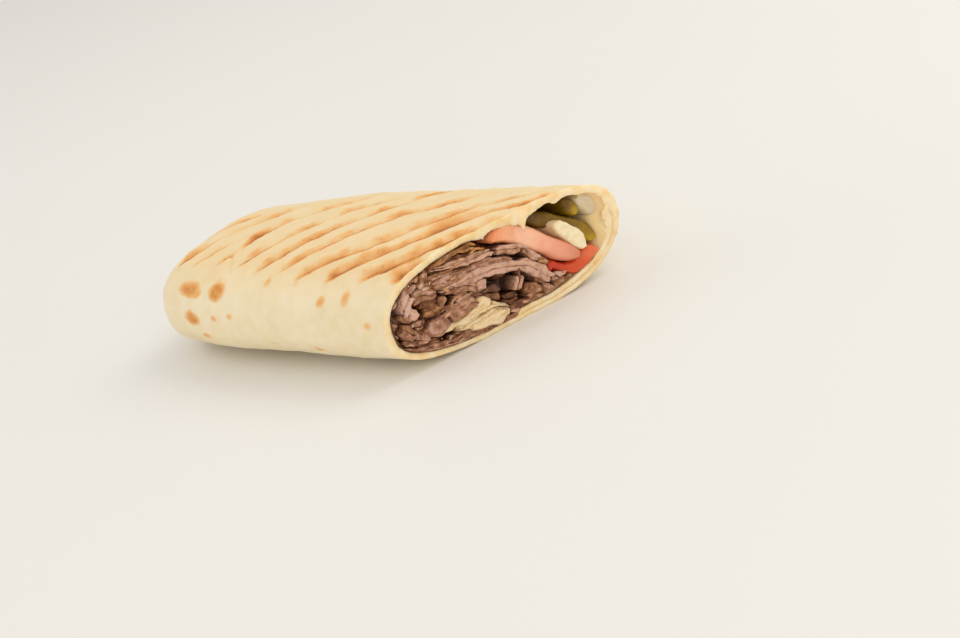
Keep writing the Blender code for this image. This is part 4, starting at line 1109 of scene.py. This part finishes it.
def tomato_flesh(settings, ripe):
    """Fresh tomato, sliced: wet, glossy and translucent flesh that light enters,
    salmon where it is pale and deep red where it is ripe."""
    material, tree, shader = new_material("ripe tomato flesh" if ripe else "pale tomato flesh")
    place = add_node(tree, "TexCoord", out="Object")
    deep, along = (add_node(tree, "Attribute", attribute_name=name, out="Fac")
                   for name in ("deep", "along"))
    broad = add_node(tree, "TexNoise", {"Vector": place, "Scale": per_size(5), "Detail": 3.0})
    fine = add_node(tree, "TexNoise", {"Vector": place, "Scale": per_size(1.2), "Detail": 4.0})
    uneven = add_node(tree, "MapRange", {0: broad, 1: 0.3, 2: 0.7, 3: -0.12, 4: 0.12})
    at = add_node(tree, "Math", {0: along, 1: uneven}, operation="ADD")
    # Along each slice: the pale slice runs from orange to dull pink, with a painted highlight (#FFC6A2)
    # about a third of the way along; the ripe slice is deeper red at its start, partly its own colour and
    # partly painted shade where it lies under the pale slice
    if ripe:
        stops = ((0.0, "#CC3E18"), (1.0, "#F08458"), (0.2, "#C63A14"), (0.42, "#D24A20"),
                 (0.7, "#DC5A2E"))
    else:
        stops = ((0.0, "#F39A62"), (1.0, "#DE8A6A"), (0.2, "#F8AE84"), (0.36, "#FFC6A2"),
                 (0.66, settings.tomato))
    flesh = add_node(tree, "ValToRGB", {0: at}, stops=stops)
    flesh = rimmed(tree, flesh, 0.45, "#A82A12" if ripe else "#E88458")
    # Painted shade: darker red the further a point lies behind the cut
    shade = add_node(tree, "Math", {0: deep, 1: 0.25}, operation="MULTIPLY")
    colour = add_node(tree, "Mix", {0: shade, 6: flesh, 7: "#8A2410"}, **BLEND)
    set_surface(tree, shader, colour, ((fine, 0.35, 0.25),), 0.24, 1.36, 0.25, (3.0, 0.9, 0.5),
                coat=(0.25, 0.08))
    return material


class DURUM_OT_tomato(bpy.types.Operator):
    """Lays the two slices of tomato"""
    bl_idname = "durum.tomato"
    bl_label = "Tomato"

    def execute(self, context):
        for number, filling in enumerate((TOMATO_1, TOMATO_2)):
            name = f"tomato_slice_{number + 1}"
            material = tomato_flesh(context.scene.durum_salad, ripe=number == 1)
            lay_filling(name + "_flesh", filling, 3.0 + number, material, name, "tomato", ragged=0.05,
                        rounding=0.7, face_relief=0.22, square=2.6)
        return {"FINISHED"}


def pickled_cucumber(settings):
    """Cucumber pickled in brine: olive, glassy and wet, with painted shade that darkens it towards the
    start of its line, where it lies in shadow.
    """
    material, tree, shader = new_material("pickled cucumber")
    place = add_node(tree, "TexCoord", out="Object")
    along = add_node(tree, "Attribute", attribute_name="along", out="Fac")
    broad = add_node(tree, "TexNoise", {"Vector": place, "Scale": per_size(5), "Detail": 3.0})
    fine = add_node(tree, "TexNoise", {"Vector": place, "Scale": per_size(1.0), "Detail": 4.0})
    uneven = add_node(tree, "MapRange", {0: broad, 1: 0.3, 2: 0.7, 3: -0.2, 4: 0.2})
    at = add_node(tree, "Math", {0: along, 1: uneven}, operation="ADD")
    # Along each piece: the dark olive at its start is painted shade, then comes the pickle's own olive,
    # and the brighter olive at its end is painted light where light falls
    flesh = add_node(tree, "ValToRGB", {0: at}, stops=(
        (0.1, "#5E4008"), (0.95, "#B8941A"), (0.45, "#806014"), (0.75, settings.pickle)))
    colour = rimmed(tree, flesh, 0.5, "#6C5206")
    set_surface(tree, shader, colour, ((fine, 0.3, 0.25),), 0.22, 1.36, 0.25, (1.6, 1.4, 0.4),
                coat=(0.15, 0.12))
    return material


class DURUM_OT_pickle(bpy.types.Operator):
    """Lays the two pieces of pickle"""
    bl_idname = "durum.pickle"
    bl_label = "Pickle"

    def execute(self, context):
        material = pickled_cucumber(context.scene.durum_salad)
        for number, filling in enumerate((PICKLE_1, PICKLE_2)):
            name = f"pickle_{number + 1}"
            lay_filling(name + "_flesh", filling, 11.0 + number, material, name, "pickle", ragged=0.08,
                        rounding=0.5, face_relief=0.2, square=2.6)
        return {"FINISHED"}


def raw_onion():
    """Raw onion: a pale, glassy layer with fine lines, wet at the cut."""
    material, tree, shader = new_material("raw onion")
    grain = add_node(tree, "UVMap", uv_map="grain")
    lined = add_node(tree, "Mapping", {"Vector": grain, "Scale": (0.15, 1.6, 1.0)})
    lines = add_node(tree, "TexNoise", {"Vector": lined, "Scale": 1.0, "Detail": 3.0})
    flesh = add_node(tree, "ValToRGB", {0: lines}, stops=((0.3, "#D8C4A0"), (0.7, "#E6D6B8")))
    colour = rimmed(tree, flesh, 0.4, "#B59A62")
    set_surface(tree, shader, colour, ((lines, 0.12, 0.2),), 0.25, 1.36, 0.4, (3.0, 2.6, 1.6),
                coat=(0.25, 0.1))
    return material


class DURUM_OT_onion(bpy.types.Operator):
    """Lays the piece of onion"""
    bl_idname = "durum.onion"
    bl_label = "Onion"

    def execute(self, context):
        lay_filling("onion_layer", ONION, 21.0, raw_onion(), "onion", "onion", ragged=0.12,
                    rounding=0.6, face_relief=0.25, square=2.4)
        return {"FINISHED"}


def fried_potato(settings):
    """A deep-fried potato stick, cut through: soft mealy cream inside, thin
    golden crust at its edges."""
    material, tree, shader = new_material("fried potato")
    place = add_node(tree, "TexCoord", out="Object")
    edge = add_node(tree, "Attribute", attribute_name="edge", out="Fac")
    mealy = add_node(tree, "TexNoise", {"Vector": place, "Scale": per_size(1.4), "Detail": 5.0})
    inside = add_node(tree, "ValToRGB", {0: mealy}, stops=((0.25, "#F2D8A4"), (0.6, settings.fry)))
    crust = add_node(tree, "ValToRGB", {0: mealy}, stops=((0.35, "#C98B3E"), (0.65, "#E9BE74")))
    rim = add_node(tree, "MapRange", {0: edge, 1: 0.4, 2: 1.0, 3: 0.0, 4: 0.4})
    colour = add_node(tree, "Mix", {0: rim, 6: inside, 7: crust}, **BLEND)
    set_surface(tree, shader, colour, ((mealy, 0.3, 0.15),), 0.55, 1.45, 0.15, (2.0, 1.4, 0.6))
    return material


class DURUM_OT_fry(bpy.types.Operator):
    """Lays the fry"""
    bl_idname = "durum.fry"
    bl_label = "Fry"

    def execute(self, context):
        lay_filling("fried_potato", FRY, 27.0, fried_potato(context.scene.durum_salad), "fry", "fry",
                    ragged=0.12, rounding=0.3, face_relief=0.2, square=3.4)
        return {"FINISHED"}


def pale_lettuce(settings):
    """The pale inner leaves of a lettuce, crumpled: thin, waxy and translucent,
    with yellow-green veins; their darker streaks are partly painted shade in the leaf's folds."""
    material, tree, shader = new_material("pale lettuce leaf")
    grain = add_node(tree, "UVMap", uv_map="grain")
    place = add_node(tree, "TexCoord", out="Object")
    veined = add_node(tree, "Mapping", {"Vector": grain, "Scale": (0.25, 1.1, 1.0)})
    veins = add_node(tree, "TexNoise", {"Vector": veined, "Scale": 1.0, "Detail": 4.0, "Distortion": 0.6})
    # Streaks along the leaf: partly veins, partly painted shade in its folds
    leaf = add_node(tree, "ValToRGB", {0: veins}, stops=(
        (0.28, "#CFA468"), (0.58, settings.lettuce), (0.4, "#E8C692")))
    fine = add_node(tree, "TexNoise", {"Vector": place, "Scale": per_size(1.6), "Detail": 3.0})
    colour = rimmed(tree, leaf, 0.3, "#CC9F60")
    set_surface(tree, shader, colour, ((fine, 0.4, 0.3),), 0.38, 1.4, 0.25, (1.8, 1.6, 0.6))
    return material


class DURUM_OT_lettuce(bpy.types.Operator):
    """Crumples the leaves of lettuce under the meat"""
    bl_idname = "durum.lettuce"
    bl_label = "Lettuce"

    def execute(self, context):
        bm = bmesh.new()
        layers = slab_layers(bm)
        chance = random.Random(8)
        folds = [(ahead, thin) for number, (ahead, line) in enumerate(LEAVES)
                 for thin in laminae(line, 1 + number % 2, chance)]
        for number, (ahead, line) in enumerate(folds):
            ahead += chance.uniform(-0.4, 0.3)
            add_slab(bm, line, ahead, THROUGH, layers, 41.0 + number, mesh_size=0.4, ragged=0.4,
                     rounding=0.35, face_relief=0.7, square=2.6, squeeze=0.9, uneven=0.4)
        material = pale_lettuce(context.scene.durum_salad)
        finish_piece("lettuce_leaves", bm, material, ["lettuce"])
        return {"FINISHED"}


class DURUM_OT_stage(bpy.types.Operator):
    """Sets the floor, the soft lights and the camera"""
    bl_idname = "durum.stage"
    bl_label = "Stage"

    def execute(self, context):
        settings = context.scene.durum_stage
        bm = bmesh.new()
        bmesh.ops.create_grid(bm, x_segments=1, y_segments=1, size=FLOOR)
        mesh = bpy.data.meshes.new("floor")
        bm.to_mesh(mesh)
        bm.free()
        material, tree, shader = new_material("pale studio floor")
        place = add_node(tree, "TexCoord", out="Object")
        mottle = add_node(tree, "TexNoise", {"Vector": place, "Scale": per_size(400), "Detail": 2.0})
        paint = add_node(tree, "ValToRGB", {0: mottle}, stops=((0.3, settings.floor), (0.7, "#EFEDE9")))
        connect(tree, shader, {"Base Color": paint, "Roughness": 0.6})
        mesh.materials.append(material)
        floor = bpy.data.objects.new("floor", mesh)
        context.scene.collection.objects.link(floor)
        powers = settings.key, settings.fill, settings.fill * SIDE_LIGHT
        for (name, place, size, colour), power in zip(LIGHTS, powers):
            self.add_light(name, place, size, power, linear(colour))
        world = bpy.data.worlds.new("studio")
        world.use_nodes = True
        sky = world.node_tree.nodes["Background"]
        connect(world.node_tree, sky, {"Color": "#F4F2EE", "Strength": 0.8})
        context.scene.world = world
        context.scene.view_settings.view_transform = "Standard"
        camera = bpy.data.objects.new("camera", bpy.data.cameras.new("camera"))
        camera.data.lens = CAMERA_LENS
        camera.data.clip_start = 0.01
        camera.location = Vector(CAMERA_PLACE) * MM
        camera.rotation_euler = Euler([math.radians(turn) for turn in CAMERA_TURN])
        context.scene.collection.objects.link(camera)
        context.scene.camera = camera
        return {"FINISHED"}

    def add_light(self, name, place, size, power, colour):
        """A square soft light that faces the roll."""
        light = bpy.data.lights.new(name, "AREA")
        light.shape, light.size = "SQUARE", size
        light.energy, light.color = power, colour
        lamp = bpy.data.objects.new(name, light)
        lamp.location = place
        lamp.rotation_euler = (-Vector(place)).to_track_quat("-Z", "Y").to_euler()
        bpy.context.scene.collection.objects.link(lamp)


class DURUM_PT_panel(bpy.types.Panel):
    """Lists the steps that dress the roll"""
    bl_idname = "DURUM_PT_panel"
    bl_label = "Doner durum"
    bl_space_type = "VIEW_3D"
    bl_region_type = "UI"
    bl_category = "Durum"

    def draw(self, context):
        for operator in OPERATORS:
            self.layout.operator(operator.bl_idname)
        for name in GROUPS:
            group = getattr(context.scene, name)
            for value in group.__annotations__:
                self.layout.prop(group, value)


GROUPS = {"durum_bread": BreadSettings, "durum_meat": MeatSettings, "durum_salad": SaladSettings,
          "durum_stage": StageSettings}
OPERATORS = (DURUM_OT_stage, DURUM_OT_bread, DURUM_OT_meat, DURUM_OT_tomato, DURUM_OT_pickle,
             DURUM_OT_onion, DURUM_OT_fry, DURUM_OT_lettuce)


def register():
    for kind in (*GROUPS.values(), *OPERATORS, DURUM_PT_panel):
        bpy.utils.register_class(kind)
    for name, group in GROUPS.items():
        setattr(bpy.types.Scene, name, bpy.props.PointerProperty(type=group))


def unregister():
    for name in GROUPS:
        delattr(bpy.types.Scene, name)
    for kind in reversed((*GROUPS.values(), *OPERATORS, DURUM_PT_panel)):
        bpy.utils.unregister_class(kind)


def main():
    register()
    for operator in OPERATORS:
        step = operator.bl_idname.split(".")[1]
        getattr(bpy.ops.durum, step)()


if __name__ == "__main__":
    main()
